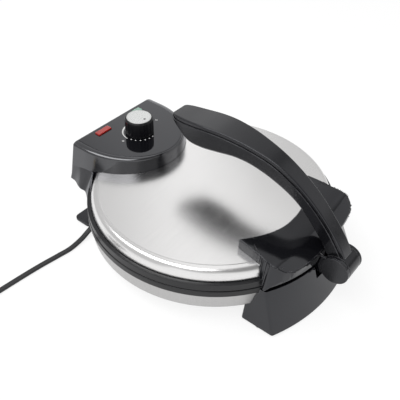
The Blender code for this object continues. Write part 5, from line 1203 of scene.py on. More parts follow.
def make_tie():
    """A soft band round the coil's turns on its far side."""
    x, y = COIL_CENTRE
    inward = COIL_TURNS / 2
    near = y + COIL_OUTER_RADIUS - COIL_TURN_STEP * inward - CORD_WIDTH / 2 - TIE_CLEARANCE
    far = y + COIL_OUTER_RADIUS - COIL_TURN_STEP / 2 + CORD_WIDTH / 2 + TIE_CLEARANCE
    low = COIL_LIFT - GAP
    high = COIL_LIFT + COIL_LAYER_STEP + CORD_THICKNESS + TIE_CLEARANCE
    middle = ((near + far) / 2, (low + high) / 2)
    rings = []
    flat = TIE_FLAT_SHARE
    for grow, place in ((0.0, -0.5), (TIE_THICKNESS, -flat), (TIE_THICKNESS, flat), (0.0, 0.5)):
        half_y = (far - near) / 2 + grow
        half_z = (high - low) / 2 + grow
        outline = rounded_rectangle(half_y, half_z, CORD_THICKNESS / 3 + grow, 0.0, middle)
        rings.append([(x + TIE_WIDTH * place, across, up) for across, up, _ in outline])
    tie = shaped("coil_tie", loft(rings, caps=False))
    return dress(tie, "base", "satin_black", ("cord_tie",))


def make_plug():
    """Two-bladed plug with a waisted grip."""
    start = TAIL_ROUTE[-1][1] + GAP
    middle = (TAIL_ROUTE[-1][0], PLUG_MIDDLE)
    sections = []
    for along, swell_share in smooth_rows(PLUG_SWELL_SHARES, PLUG_ROWS):
        swell = min(max(swell_share, 0.0), 1.0)
        width = PLUG_NECK_WIDTH + (PLUG_WIDTH - PLUG_NECK_WIDTH) * swell
        height = PLUG_NECK_HEIGHT + (PLUG_HEIGHT - PLUG_NECK_HEIGHT) * swell
        y = start + PLUG_LENGTH * along
        outline = rounded_rectangle(width / 2, height / 2, height * PLUG_CORNER_SHARE, 0.0, middle)
        sections.append([(x, y, z) for x, z, _ in outline])
    body = shaped("plug_grip", loft(sections))
    softened(body, PLUG_EDGE, 3, BLUNT_ANGLE)
    return dress(body, "base", "black_rubber", ("plug_body",))


# Base

def make_base(sizes):
    """Steel pan and the black ring on it."""
    foot = PAN_FOOT_RADIUS
    low = PAN_BOTTOM
    pan = filleted(
        [
            (PAN_RADIUS, PAN_TOP), (foot, low + PAN_CORNER), (foot - PAN_CORNER / 3, low + PAN_CORNER / 3),
            (foot - PAN_CORNER, low), (PAN_FLANGE_RADIUS, low), (PAN_FLANGE_RADIUS, low + SHEET),
            (foot - PAN_CORNER, low + SHEET), (foot - SHEET, low + PAN_CORNER), (PAN_RADIUS - SHEET, PAN_TOP),
        ],
        PAN_ROUNDING,
    )
    # The pan is dressed in the darker copy of the steel, a painted shade.
    dress(shaped("steel_pan", lathe(pan)), "base", "brushed_steel", ("base_pan",), FINISHES["shaded_pan_steel"])
    ring = filleted(
        [
            (BASE_RING_RADIUS, BASE_RING_TOP), (BASE_RING_RADIUS, BASE_RING_BOTTOM),
            (RING_INNER_RADIUS, BASE_RING_BOTTOM), (RING_INNER_RADIUS, BASE_RING_TOP),
        ],
        sizes.edge,
    )
    dress(shaped("lower_ring", lathe(ring)), "base", "gloss_black", ("base_ring",), FINISHES["ring_black"])


def make_leg():
    """Front leg: splayed sides and a bowed front, cut round the pan."""
    sections = []
    levels = 6
    arc_steps = 48
    top_corner = math.sqrt(LEG_TOP_RADIUS ** 2 - LEG_TOP_HALF_WIDTH ** 2)
    for level in range(levels + 1):
        share = level / levels
        height = LEG_FOOT_HEIGHT + (LEG_TOP_HEIGHT - LEG_FOOT_HEIGHT) * share
        half_width = LEG_FLOOR_HALF_WIDTH + (LEG_TOP_HALF_WIDTH - LEG_FLOOR_HALF_WIDTH) * share
        corner = LEG_FLOOR_CORNER_REACH + (top_corner - LEG_FLOOR_CORNER_REACH) * share
        front = LEG_FLOOR_FRONT_REACH + (LEG_TOP_RADIUS - LEG_FLOOR_FRONT_REACH) * share
        sagitta = front - corner
        radius = (half_width ** 2 + sagitta ** 2) / (2 * sagitta)
        sweep = math.asin(half_width / radius)
        points = [(-half_width, -LEG_REAR_REACH, height), (half_width, -LEG_REAR_REACH, height)]
        for step in range(arc_steps + 1):
            angle = sweep - 2 * sweep * step / arc_steps
            points.append((radius * math.sin(angle), -(front - radius + radius * math.cos(angle)), height))
        sections.append(points)
    leg = softened(shaped("front_foot", loft(sections)), LEG_EDGE)
    rear_start = -LEG_REAR_REACH - CELL_RIB - LEG_CELL_DEPTH
    front_start = rear_start - CELL_RIB - LEG_FRONT_CELL_DEPTH
    tools = [base_clearance()]
    tools += cell_boxes(LEG_CELLS, CELL_WIDTH, rear_start, LEG_CELL_DEPTH)
    tools += cell_boxes(LEG_FRONT_CELLS, CELL_WIDTH, front_start, LEG_FRONT_CELL_DEPTH)
    reach = LEG_FLOOR_FRONT_REACH + OVERRUN
    tools.append(block((-reach, -reach, LEG_CUT_HEIGHT), (reach, 0.0, LEG_TOP_HEIGHT + OVERRUN)))
    low = (-LEG_NOTCH_HALF_WIDTH, -reach, LEG_NOTCH_HEIGHT)
    tools.append(block(low, (LEG_NOTCH_HALF_WIDTH, 0.0, LEG_TOP_HEIGHT + OVERRUN)))
    combined(leg, tools)
    dress(leg, "base", "gloss_black", ("front_leg",))


def make_stand():
    """Rear stand: a wide slab on the table and a hollow block up to the floor plate."""
    middle = (0.0, (STAND_REAR + STAND_FRONT) / 2)
    half_y = (STAND_REAR - STAND_FRONT) / 2
    low = LEG_FOOT_HEIGHT
    high = low + STAND_SLAB_HEIGHT
    slab = soft_block(STAND_HALF_WIDTH, half_y, STAND_CORNER, low, high, STAND_EDGE, middle, below=True)
    stand = shaped("rear_foot", slab)
    half_depth = (STAND_REAR - STAND_BLOCK_FRONT) / 2 - GAP / 2
    upright_middle = (0.0, (STAND_REAR + STAND_BLOCK_FRONT) / 2 - GAP / 2)
    upright = soft_block(
        STAND_BLOCK_HALF_WIDTH, half_depth, STAND_BLOCK_CORNER, low + GAP, BASE_FLOOR_HEIGHT - GAP,
        STAND_BLOCK_EDGE, upright_middle,
    )
    combined(stand, [upright], "UNION")
    depth = STAND_REAR - STAND_BLOCK_FRONT - 2 * CELL_RIB
    tools = cell_boxes(STAND_CELLS, STAND_CELL_WIDTH, STAND_BLOCK_FRONT + CELL_RIB, depth)
    start = (-STAND_BLOCK_HALF_WIDTH - OVERRUN, GLAND_REACH, GLAND_HEIGHT)
    end = (CELL_WIDTH - STAND_BLOCK_HALF_WIDTH, GLAND_REACH, GLAND_HEIGHT)
    tools.append(rod(start, end, CORD_HOLE_RADIUS, HOLE_STEPS))
    combined(stand, tools)
    dress(stand, "base", "satin_black", ("rear_stand",))


# Lid

def make_cover(sizes):
    """Brushed steel cover with its crease, rolled rim and skirt, notched round the housing."""
    outer = cover_line(sizes.crease)
    inner = [(max(reach - SHEET, 0.0), height - SHEET) for reach, height in reversed(outer)]
    profile = outer + [(LID_RADIUS, SKIRT_BOTTOM), (LID_RADIUS - SHEET, SKIRT_BOTTOM)] + inner[1:]
    # The inner line needs one point on the axis.
    while profile[-2][0] < TOUCHING:
        profile.pop()
    cover = shaped("steel_cover", lathe(profile, closed=False))
    combined(cover, [loft(housing_walls(LID_BOTTOM - OVERRUN, HOUSING_SHOULDER_HEIGHT, GAP, OVERRUN))])
    dress(cover, "lid", "brushed_steel", ("lid_cover",), angle=COVER_SHADING_ANGLE)


def gusset_sections(side):
    """The flare from the housing's side wall down to the lid's ring, as plans from bottom to top."""
    outer = smooth_rows(GUSSET_OUTER_SHARES, GUSSET_OUTER_ROWS)
    inner = smooth_rows(GUSSET_INNER_SHARES, GUSSET_INNER_ROWS)
    levels = 8
    sections = []
    for level in range(levels + 1):
        share = level / levels
        points = []
        for low_x, low_y, high_x, high_y in outer + inner:
            x = low_x + (high_x - low_x) * share
            y = low_y + (high_y - low_y) * share
            points.append((-side * FLARE_HALF_WIDTH * x, LID_RADIUS * y, LID_BOTTOM + GUSSET_HEIGHT * share))
        sections.append(points)
    return sections


def make_lid_frame(sizes):
    """The lid's black ring, the control housing with its rounded shoulder, and the flares at its sides."""
    groove_outer = LID_RADIUS + GAP
    groove_inner = LID_RADIUS - SHEET - GAP
    groove_floor = SKIRT_BOTTOM - GAP
    ring = filleted(
        [
            (LID_RING_RADIUS, LID_RING_TOP), (LID_RING_RADIUS, LID_BOTTOM), (RING_INNER_RADIUS, LID_BOTTOM),
            (RING_INNER_RADIUS, LID_RING_TOP), (groove_inner, LID_RING_TOP), (groove_inner, groove_floor),
            (groove_outer, groove_floor), (groove_outer, LID_RING_TOP),
        ],
        sizes.edge,
    )
    nodes = ("lid_frame",)
    dress(shaped("upper_ring", lathe(ring)), "lid", "gloss_black", nodes, FINISHES["ring_black"])
    sections = housing_walls(LID_BOTTOM + GAP, HOUSING_SHOULDER_HEIGHT)
    steps = 10
    for step in range(1, steps + 1):
        angle = math.pi / 2 * step / steps
        inward = 1.0 - math.cos(angle)
        height = HOUSING_SHOULDER_HEIGHT + HOUSING_EDGE_RISE * math.sin(angle)
        half_width = HOUSING_HALF_WIDTH - HOUSING_EDGE * inward
        front = HOUSING_FRONT_REACH - HOUSING_FRONT_EDGE * inward
        rear = HOUSING_REAR - HOUSING_FRONT_EDGE * inward
        sections.append(housing_outline(half_width, front, rear, height))
    housing = shaped("control_housing", loft(sections))
    low = LID_BOTTOM - OVERRUN
    high = HOUSING_TOP_HEIGHT + OVERRUN
    ledge = PANEL_BOTTOM - GAP
    tools = [
        loft(housing_walls(low, ledge - WALL, -WALL, -WALL)),
        loft([panel_outline(-PANEL_LEDGE, HOUSING_FOOT_HEIGHT), panel_outline(-PANEL_LEDGE, high)]),
        loft([panel_outline(GAP, ledge), panel_outline(GAP, high)]),
        loft([circle(RING_INNER_RADIUS, low), circle(RING_INNER_RADIUS, HOUSING_FOOT_HEIGHT)]),
    ]
    combined(housing, tools)
    dress(housing, "lid", "gloss_black", nodes, FINISHES["housing_black"])
    for word, side in (("left", 1.0), ("right", -1.0)):
        gusset = softened(shaped("housing_flare_" + word, loft(gusset_sections(side))), sizes.edge)
        dress(gusset, "lid", "gloss_black", nodes, FINISHES["housing_black"])


# Controls

def make_panel():
    """The mirror-black control panel with its windows, and the dial's printed marks."""
    panel = shaped("control_face", loft([panel_outline(0.0, PANEL_BOTTOM), panel_outline(0.0, PANEL_TOP)]))
    softened(panel, PANEL_EDGE, 3, BLUNT_ANGLE)
    tools = []
    for side in (-1.0, 1.0):
        middle = side * LAMP_SPACING
        half_x = LENS_WIDTH / 2 + GAP
        half_y = LENS_DEPTH / 2 + GAP
        low = (middle - half_x, LAMP_REACH - half_y, PANEL_BOTTOM - OVERRUN)
        tools.append(block(low, (middle + half_x, LAMP_REACH + half_y, PANEL_TOP + OVERRUN)))
    low = (0.0, KNOB_REACH, PANEL_BOTTOM - OVERRUN)
    tools.append(rod(low, (0.0, KNOB_REACH, PANEL_TOP + OVERRUN), NECK_RADIUS, NECK_STEPS))
    combined(panel, tools)
    dress(panel, "lid", "gloss_black", ("control_panel",), FINISHES["panel_black"])
    make_marks()


def print_mark(name, outlines):
    """A mark printed on the panel, from its outlines at its foot and its top."""
    dress(shaped(name, loft(outlines)), "lid", "gloss_black", (), FINISHES["white_print"])


def make_marks():
    """Dots, a tapering arc and two small crosses printed round the dial."""
    levels = (PANEL_TOP + MARK_LIFT / 3, PANEL_TOP + MARK_LIFT)
    for number, degrees in enumerate(MARK_ANGLES, 1):
        turn = math.radians(degrees)
        middle = (MARK_RING_RADIUS * math.cos(turn), KNOB_REACH + MARK_RING_RADIUS * math.sin(turn))
        dot = [circle(MARK_DOT_RADIUS, level, middle, DOT_STEPS) for level in levels]
        print_mark(f"dial_dot_{number}", dot)
    steps = 40
    outer = []
    inner = []
    for step in range(steps + 1):
        share = step / steps
        turn = math.radians(ARC_START + (ARC_END - ARC_START) * share)
        half = ARC_HALF_WIDTH * (1.0 - ARC_TAPER_SHARE * share)
        for line, reach in ((outer, ARC_RADIUS + half), (inner, ARC_RADIUS - half)):
            line.append((reach * math.cos(turn), KNOB_REACH + reach * math.sin(turn)))
    outline = outer + inner[::-1]
    print_mark("dial_arc", [[(x, y, level) for x, y in outline] for level in levels])
    bars = (("wide", CROSS_HALF_LENGTH, CROSS_HALF_WIDTH), ("tall", CROSS_HALF_WIDTH, CROSS_HALF_LENGTH))
    for number, (x, y) in enumerate(CROSS_PLACES, 1):
        middle = (x, KNOB_REACH + y)
        for word, half_x, half_y in bars:
            bar = [rounded_rectangle(half_x, half_y, CROSS_CORNER, level, middle, 3) for level in levels]
            print_mark(f"dial_{word}_bar_{number}", bar)


def make_lenses():
    for word, side, colour in (("power", -1.0, "red_lens"), ("ready", 1.0, "green_lens")):
        middle = (side * LAMP_SPACING, LAMP_REACH)
        shape = soft_block(
            LENS_WIDTH / 2, LENS_DEPTH / 2, LENS_CORNER, PANEL_BOTTOM - GAP, LENS_TOP, LENS_EDGE, middle
        )
        dress(shaped(word + "_window", shape), "lid", colour, (word + "_lamp_lens",))


def fluted_circle(radius, height, depth, per_flute):
    """A circle round the dial's axis with shallow flutes pressed into it."""
    points = []
    count = KNOB_FLUTES * per_flute
    for step in range(count):
        turn = 2 * math.pi * step / count
        dip = depth * (0.5 + 0.5 * math.cos(KNOB_FLUTES * turn)) ** 3
        reach = radius - dip
        points.append((reach * math.cos(turn), KNOB_REACH + reach * math.sin(turn), height))
    return points


def make_knob(sizes):
    """Fluted knob with a hollow foot, a bore for its shaft and a recess for its cap."""
    per_flute = sizes.flute_points
    recess = KNOB_CAP_TOP - KNOB_CAP_THICKNESS - GAP
    rows = [
        (KNOB_BORE_RADIUS, KNOB_FOOT + KNOB_BORE_HEIGHT, 0.0),
        (KNOB_BORE_RADIUS, KNOB_FOOT + KNOB_HOLLOW_HEIGHT, 0.0),
        (KNOB_HOLLOW_RADIUS, KNOB_FOOT + KNOB_HOLLOW_HEIGHT, 0.0),
        (KNOB_HOLLOW_RADIUS, KNOB_FOOT, 0.0),
        (KNOB_FOOT_RADIUS - KNOB_FOOT_EDGE, KNOB_FOOT, 0.0),
        (KNOB_FOOT_RADIUS - KNOB_FOOT_EDGE / 3, KNOB_FOOT + KNOB_FOOT_EDGE / 3, 0.5),
        (KNOB_FOOT_RADIUS, KNOB_FOOT + KNOB_FOOT_EDGE, 1.0),
        (KNOB_TOP_RADIUS, KNOB_TOP - KNOB_EDGE, 1.0),
    ]
    steps = 6
    for step in range(1, steps + 1):
        turn = math.pi / 2 * step / steps
        radius = KNOB_TOP_RADIUS - KNOB_EDGE * KNOB_EDGE_INSET_SHARE * (1 - math.cos(turn))
        rows.append((radius, KNOB_TOP - KNOB_EDGE * (1 - math.sin(turn)), 1.0 - step / steps))
    rows += [
        (KNOB_CAP_RADIUS + GAP, KNOB_TOP, 0.0), (KNOB_CAP_RADIUS + GAP, recess, 0.0),
        (KNOB_BORE_RADIUS, recess, 0.0),
    ]
    sections = [
        fluted_circle(radius, height, KNOB_FLUTE_DEPTH * depth, per_flute) for radius, height, depth in rows
    ]
    dress(shaped("dial_knob", loft(sections)), "knob_dial", "gloss_black", ("knob",), FINISHES["knob_black"])
    make_knob_cap()


def make_knob_cap():
    """The knob's spun cap with a fine groove near its rim, and its sunk dot."""
    top = KNOB_CAP_TOP
    low = top - KNOB_CAP_THICKNESS
    groove = KNOB_CAP_RADIUS - KNOB_CAP_GROOVE_INSET
    profile = filleted(
        [
            (0.0, top), (groove - KNOB_CAP_GROOVE_HALF_WIDTH, top), (groove, top - KNOB_CAP_GROOVE_DEPTH),
            (groove + KNOB_CAP_GROOVE_HALF_WIDTH, top), (KNOB_CAP_RADIUS, top), (KNOB_CAP_RADIUS, low),
            (0.0, low),
        ],
        KNOB_CAP_EDGE,
        closed=False,
    )
    cap = lathe(profile, closed=False, steps=DISC_STEPS)
    bmesh.ops.translate(cap, verts=cap.verts, vec=(0.0, KNOB_REACH, 0.0))
    dress(shaped("dial_cap", cap), "knob_dial", "silver_cap", ("knob_cap",))
    middle = (KNOB_CAP_MARK_PLACE[0], KNOB_REACH + KNOB_CAP_MARK_PLACE[1])
    levels = (top - GAP, top + MARK_LIFT / 2)
    dot = loft([circle(KNOB_CAP_MARK_RADIUS, level, middle, CAP_DOT_STEPS) for level in levels])
    dress(shaped("dial_cap_dot", dot), "knob_dial", "gloss_black", (), FINISHES["dark_mark"])


# Saddle, pivot and lever

def saddle_outline(level):
    """The saddle from above, at its foot (level 0) or over its top (level 1)."""
    corner = SADDLE_HALF_WIDTH * SADDLE_CORNER_SHARE
    radius = (corner ** 2 + SADDLE_REAR_SAGITTA ** 2) / (2 * SADDLE_REAR_SAGITTA)
    sweep = math.asin(corner / radius)
    height = LID_BOTTOM + SADDLE_SKIRT + SADDLE_SPLAY_TOP * level
    points = []
    arc_steps = 36
    for step in range(arc_steps + 1):
        angle = -sweep + 2 * sweep * step / arc_steps
        y = radius - SADDLE_REAR_REACH - radius * math.cos(angle)
        points.append((radius * math.sin(angle), y, height))
    right = []
    rows = smooth_rows(SADDLE_SIDE_SHARES, SADDLE_SIDE_ROWS)
    rows += smooth_rows(SADDLE_FRONT_SHARES, SADDLE_FRONT_ROWS)
    for row in rows:
        x, y = row[2 * level:2 * level + 2]
        right.append((SADDLE_HALF_WIDTH * x, -LID_RADIUS * y, height))
    points.extend(right)
    points.extend((-x, y, z) for x, y, z in reversed(right[:-1]))
    return points


def room_under_lip():
    """What is open below the saddle's front lip, outside the wall that lines up with the leg."""
    reach = SADDLE_HALF_WIDTH + OVERRUN
    foot = LID_BOTTOM - OVERRUN
    sections = []
    for x in (-reach, reach):
        points = [(x, -LID_RADIUS * SADDLE_LIP_SHARES[0][0], foot)]
        points += [(x, -LID_RADIUS * y, LID_BOTTOM + SADDLE_RISE * rise) for y, rise in SADDLE_LIP_SHARES]
        points.append((x, -LID_RADIUS * SADDLE_LIP_SHARES[-1][0], foot))
        sections.append(points)
    wall_radius = LEG_TOP_RADIUS - GAP
    high = LID_BOTTOM + SADDLE_RISE
    low = LID_BOTTOM - 2 * OVERRUN
    wall = lathe([(0.0, high), (wall_radius, high), (wall_radius, low), (0.0, low)], closed=False)
    return combined(shaped("under_lip", loft(sections)), [wall])


def make_saddle_ears():
    """Two upright ears that hold the lever's pin."""
    reach = Vector((PIN_HOLE_HALF_LENGTH, 0.0, 0.0))
    for word, side in (("left", -1.0), ("right", 1.0)):
        ends = sorted((side * (EAR_INNER + GAP / 2), side * (EAR_OUTER - GAP / 2)))
        low = (ends[0], PIVOT.y, PIVOT.z - EAR_WEB_DROP)
        ear = shaped("saddle_ear_" + word, block(low, (ends[1], -EAR_WEB_REACH, PIVOT.z + EAR_WEB_RISE)))
        combined(ear, [lid_clearance(), base_clearance()])
        start = Vector((side * EAR_INNER, PIVOT.y, PIVOT.z))
        end = Vector((side * EAR_OUTER, PIVOT.y, PIVOT.z))
        combined(ear, [rod(start, end, BARREL_RADIUS - GAP)], "UNION")
        combined(ear, [rod(PIVOT - reach, PIVOT + reach, PIN_HOLE_RADIUS, HOLE_STEPS)])
        softened(ear, EAR_EDGE)
        dress(ear, "lid", "gloss_black", ("saddle",))


def make_saddle():
    """Moulded saddle with two raised wings, a hollow between them and a thin front lip."""
    right = smooth_rows(SADDLE_ACROSS_SHARES, SADDLE_ACROSS_ROWS)
    across = [(-share, blend) for share, blend in reversed(right[1:])] + [tuple(row) for row in right]
    low = LID_BOTTOM + SADDLE_SKIRT - OVERRUN
    sections = []
    for reach_share, wing_share, hollow_share in smooth_rows(SADDLE_PROFILE_SHARES, SADDLE_PROFILE_ROWS):
        y = -LID_RADIUS * reach_share
        wing = LID_BOTTOM + SADDLE_RISE * wing_share
        hollow = LID_BOTTOM + SADDLE_RISE * hollow_share
        points = [(SADDLE_HALF_WIDTH * share, y, hollow + (wing - hollow) * blend) for share, blend in across]
        points.append((SADDLE_HALF_WIDTH * across[-1][0], y, low))
        points.append((SADDLE_HALF_WIDTH * across[0][0], y, low))
        sections.append(points)
    saddle = shaped("front_saddle", loft(sections))
    combined(saddle, [loft([saddle_outline(0), saddle_outline(1)])], "INTERSECT")
    softened(saddle, SADDLE_EDGE, 4, SADDLE_EDGE_ANGLE)
    combined(saddle, [room_under_lip(), lid_clearance()])
    make_saddle_ears()
    dress(saddle, "lid", "gloss_black", ("saddle",))


def make_pivot_caps():
    """Round caps that hide the pin's ends."""
    thick = PIVOT_CAP_THICKNESS
    radius = BARREL_RADIUS
    profile = [(0.0, thick), (radius / 2, thick), (radius, thick), (radius, 0.0), (0.0, 0.0)]
    for word, side in (("left", -1.0), ("right", 1.0)):
        shape = lathe(filleted(profile, PIVOT_CAP_EDGE, closed=False), closed=False, steps=DISC_STEPS)
        place = Matrix.Translation((side * (EAR_OUTER + GAP), PIVOT.y, PIVOT.z))
        turn = Matrix.Rotation(side * math.pi / 2, 4, "Y")
        bmesh.ops.transform(shape, matrix=place @ turn, verts=shape.verts)
        dress(shaped("pivot_button_" + word, shape), "lid", "satin_black", ("pivot_cap_" + word,))


def lever_rows():
    """Top, bottom and half width along the lever, whose grip end is rounded from above."""
    rows = []
    for top_reach, top_rise, low_reach, low_rise, width in smooth_rows(LEVER_SHARES, LEVER_ROWS):
        top = PIVOT + Vector((0.0, LEVER_REACH * top_reach, LEVER_RISE * top_rise))
        low = PIVOT + Vector((0.0, LEVER_REACH * low_reach, LEVER_RISE * low_rise))
        toward_end = min(max((top_reach - LEVER_END_SHARE) / (1.0 - LEVER_END_SHARE), 0.0), 1.0)
        narrowing = LEVER_END_NARROWING * (1.0 - math.sqrt(1.0 - toward_end ** 2))
        rows.append((top, low, LEVER_HALF_WIDTH * width * (1.0 - narrowing)))
    return rows


def lever_slice(low, upward, half_width, foot, head, foot_edge, head_edge):
    """A slice of a lever shell with its four corners rounded."""
    most = min((head - foot) * LARGEST_CORNER_SHARE, half_width / 2)
    foot_edge = min(foot_edge, most)
    head_edge = min(head_edge, most)
    steps = 6
    corners = (
        (1.0, head, head_edge, 0), (-1.0, head, head_edge, 1),
        (-1.0, foot, foot_edge, 2), (1.0, foot, foot_edge, 3),
    )
    points = []
    for side, height, edge, quarter in corners:
        middle_height = height - edge if quarter < 2 else height + edge
        for step in range(steps + 1):
            turn = math.pi / 2 * (quarter + step / steps)
            x = side * (half_width - edge) + edge * math.cos(turn)
            points.append(low + Vector((x, 0.0, 0.0)) + upward * (middle_height + edge * math.sin(turn)))
    return points


def make_lever():
    """Press lever: glossy upper shell on a lower shell whose rounded seam edge catches the light and also has
    a painted highlight in its colour.
    """
    rows = lever_rows()
    upper_sections = []
    lower_sections = []
    for top, low, half_width in rows:
        depth = (top - low).length
        upward = (top - low).normalized()
        seam = depth - min(LEVER_TOP_THICKNESS, LEVER_SPLIT_SHARE * depth)
        inset = half_width - LEVER_TOP_INSET
        upper_sections.append(lever_slice(low, upward, inset, seam, depth, LEVER_SEAM_EDGE / 2, LEVER_EDGE))
        seam -= GAP
        lower_sections.append(lever_slice(low, upward, half_width, 0.0, seam, LEVER_EDGE, LEVER_SEAM_EDGE))
    upper = shaped("lever_top", loft(upper_sections))
    lower = shaped("lever_body", loft(lower_sections))
    wide = Vector((EAR_INNER + OVERRUN, 0.0, 0.0))
    half = Vector((BARREL_HALF_WIDTH, 0.0, 0.0))
    barrel = softened(shaped("barrel", rod(PIVOT - half, PIVOT + half, BARREL_RADIUS)), BARREL_EDGE)
    combined(lower, [barrel], "UNION")
    tools = [rod(PIVOT - wide, PIVOT + wide, PIN_HOLE_RADIUS, HOLE_STEPS)]
    lows = np.array([[row[1].y, row[1].z] for row in rows])[::-1]
    for share in LEVER_SCREW_SHARES:
        y = PIVOT.y + LEVER_REACH * share
        height = float(np.interp(y, lows[:, 0], lows[:, 1]))
        start = (0.0, y, height - OVERRUN)
        end = (0.0, y, height + LEVER_SCREW_HOLE_DEPTH)
        tools.append(rod(start, end, LEVER_SCREW_HOLE_RADIUS, HOLE_STEPS))
    combined(lower, tools)
    combined(upper, [rod(PIVOT - wide, PIVOT + wide, BARREL_RADIUS + GAP)])
    dress(upper, "press_lever", "satin_black", ("lever_upper_shell",))
    dress(lower, "press_lever", "satin_black", ("lever_lower_shell",), FINISHES["lever_black_painted_highlight"])


# Small parts and studio

def dress_small_parts():
    """Materials for the model's own small parts, which keep their shapes."""
    for row in frame["record"]["subparts"]:
        node = frame["nodes"][row["node"]]
        node.data.materials.clear()
        node.data.materials.append(FINISHES[row["material_slot"]])


def make_floor():
    """Pale floor, lifted toward white for the camera and for what the object mirrors."""
    low = (-FLOOR_REACH, -FLOOR_REACH, FLOOR_BOTTOM)
    floor = shaped("studio_floor", block(low, (FLOOR_REACH, FLOOR_REACH, FLOOR_TOP)))
    pale = (0.9, 0.9, 0.9)
    paler = (0.92, 0.92, 0.92)
    material, tree, shader = blank_material("pale_floor", pale, Roughness=0.7, Specular_IOR_Level=0.2)
    place = add_node(tree, "TexCoord").outputs["Object"]
    cloud = add_node(tree, "TexNoise", Vector=place, Scale=3.0, Detail=3.0)
    tree.links.new(mixed_colour(tree, cloud.outputs["Fac"], pale, paler), shader.inputs["Base Color"])
    path = tree.nodes.new("ShaderNodeLightPath")
    strength = add_node(tree, "MapRange", Value=path.outputs["Is Camera Ray"], To_Min=1.0, To_Max=FLOOR_GLOW)
    glow = add_node(tree, "Emission", Color=(1.0, 1.0, 1.0, 1.0), Strength=strength.outputs["Result"])
    mirrored = arithmetic(tree, "ADD", path.outputs["Is Glossy Ray"], path.outputs["Is Transmission Ray"])
    shown = arithmetic(tree, "MULTIPLY_ADD", path.outputs["Is Camera Ray"], FLOOR_SEEN_SHARE)
    tree.links.new(arithmetic(tree, "MULTIPLY", mirrored, FLOOR_MIRRORED_SHARE), shown.node.inputs[2])
    share = arithmetic(tree, "MINIMUM", shown, 1.0)
    blend = tree.nodes.new("ShaderNodeMixShader")
    tree.links.new(share, blend.inputs[0])
    tree.links.new(shader.outputs[0], blend.inputs[1])
    tree.links.new(glow.outputs[0], blend.inputs[2])
    tree.links.new(blend.outputs[0], tree.nodes["Material Output"].inputs["Surface"])
    floor.data.materials.append(material)


def dimmed_toward(tree, way, direction, start, full, most):
    """How much less white a mirrored ray meets as it turns toward a direction."""
    toward = tree.nodes.new("ShaderNodeVectorMath")
    toward.operation = "DOT_PRODUCT"
    tree.links.new(way, toward.inputs[0])
    toward.inputs[1].default_value = direction
    dimmed = add_node(
        tree, "MapRange", {"interpolation_type": "SMOOTHSTEP"}, Value=toward.outputs["Value"], From_Min=start,
        From_Max=full, To_Min=0.0, To_Max=most,
    )
    return dimmed.outputs["Result"]


def make_world(studio):
    """White to the camera; what the object mirrors is softer at the back and dark toward the front."""
    world = bpy.data.worlds.new("white_room")
    world.use_nodes = True
    bpy.context.scene.world = world
    tree = world.node_tree
    background = tree.nodes["Background"]
    background.inputs["Color"].default_value = (1.0, 1.0, 1.0, 1.0)
    way = add_node(tree, "TexCoord").outputs["Generated"]
    dimmed = 0.0
    for direction, start, full, most in DIMMED_DIRECTIONS:
        dimmer = dimmed_toward(tree, way, direction, start, full, most)
        dimmed = arithmetic(tree, "MAXIMUM", dimmed, dimmer)
    mirrored = arithmetic(tree, "MAXIMUM", arithmetic(tree, "SUBTRACT", 1.0, dimmed), LEAST_MIRRORED)
    path = tree.nodes.new("ShaderNodeLightPath")
    camera, glossy, through = (
        path.outputs[f"Is {kind} Ray"] for kind in ("Camera", "Glossy", "Transmission")
    )
    seen = arithmetic(tree, "ADD", camera, through, clamp=True)
    other = arithmetic(tree, "SUBTRACT", arithmetic(tree, "SUBTRACT", 1.0, seen), glossy)
    lit = arithmetic(tree, "MULTIPLY", arithmetic(tree, "MAXIMUM", other, 0.0), studio.ambient)
    shown = arithmetic(tree, "ADD", seen, arithmetic(tree, "MULTIPLY", glossy, mirrored))
    tree.links.new(arithmetic(tree, "ADD", shown, lit), background.inputs["Strength"])


def make_lights(studio):
    """Two soft lights aimed at the object."""
    for name, place, (width, depth), share in SOFT_LIGHTS:
        data = bpy.data.lights.new(name, "AREA")
        data.shape = "RECTANGLE"
        data.size = width
        data.size_y = depth
        data.energy = studio.key * share
        light = bpy.data.objects.new(name, data)
        light.location = place
        light.rotation_euler = (LIGHT_AIM - place).to_track_quat("-Z", "Y").to_euler()
        bpy.context.scene.collection.objects.link(light)


def make_studio(studio):
    """Pale floor, white surroundings and two soft lights."""
    bpy.context.scene.view_settings.view_transform = "Standard"
    make_floor()
    make_world(studio)
    make_lights(studio)


# Operators

class RotiMakerOperator:
    """What the operators share."""

    bl_options = {"REGISTER", "UNDO"}


class ROTI_OT_camera(RotiMakerOperator, bpy.types.Operator):
    """Place the camera at the photograph's view"""

    bl_idname = "roti.camera"
    bl_label = "Camera"

    def execute(self, context):
        make_camera(context.scene.roti_studio)
        return {"FINISHED"}


class ROTI_OT_finishes(RotiMakerOperator, bpy.types.Operator):
    """Make the materials and give the small parts theirs"""

    bl_idname = "roti.finishes"
    bl_label = "Materials and small parts"

    def execute(self, context):
        GROUPS.update(make_groups())
        make_finishes(context.scene.roti_finish)
        dress_small_parts()
        return {"FINISHED"}


class ROTI_OT_cord(RotiMakerOperator, bpy.types.Operator):
    """Build the mains cord with its gland, tie and plug"""

    bl_idname = "roti.cord"
    bl_label = "Mains cord"

    def execute(self, context):
        make_cord()
        return {"FINISHED"}


class ROTI_OT_base(RotiMakerOperator, bpy.types.Operator):
    """Build the steel pan and the lower black ring"""

    bl_idname = "roti.base"
    bl_label = "Pan and lower ring"

    def execute(self, context):
        make_base(context.scene.roti_sizes)
        return {"FINISHED"}


class ROTI_OT_feet(RotiMakerOperator, bpy.types.Operator):
    """Build the front leg and the rear stand"""

    bl_idname = "roti.feet"
    bl_label = "Front leg and rear stand"

    def execute(self, context):
        make_leg()
        make_stand()
        return {"FINISHED"}


class ROTI_OT_cover(RotiMakerOperator, bpy.types.Operator):
    """Build the brushed steel cover"""

    bl_idname = "roti.cover"
    bl_label = "Steel cover"

    def execute(self, context):
        make_cover(context.scene.roti_sizes)
        return {"FINISHED"}


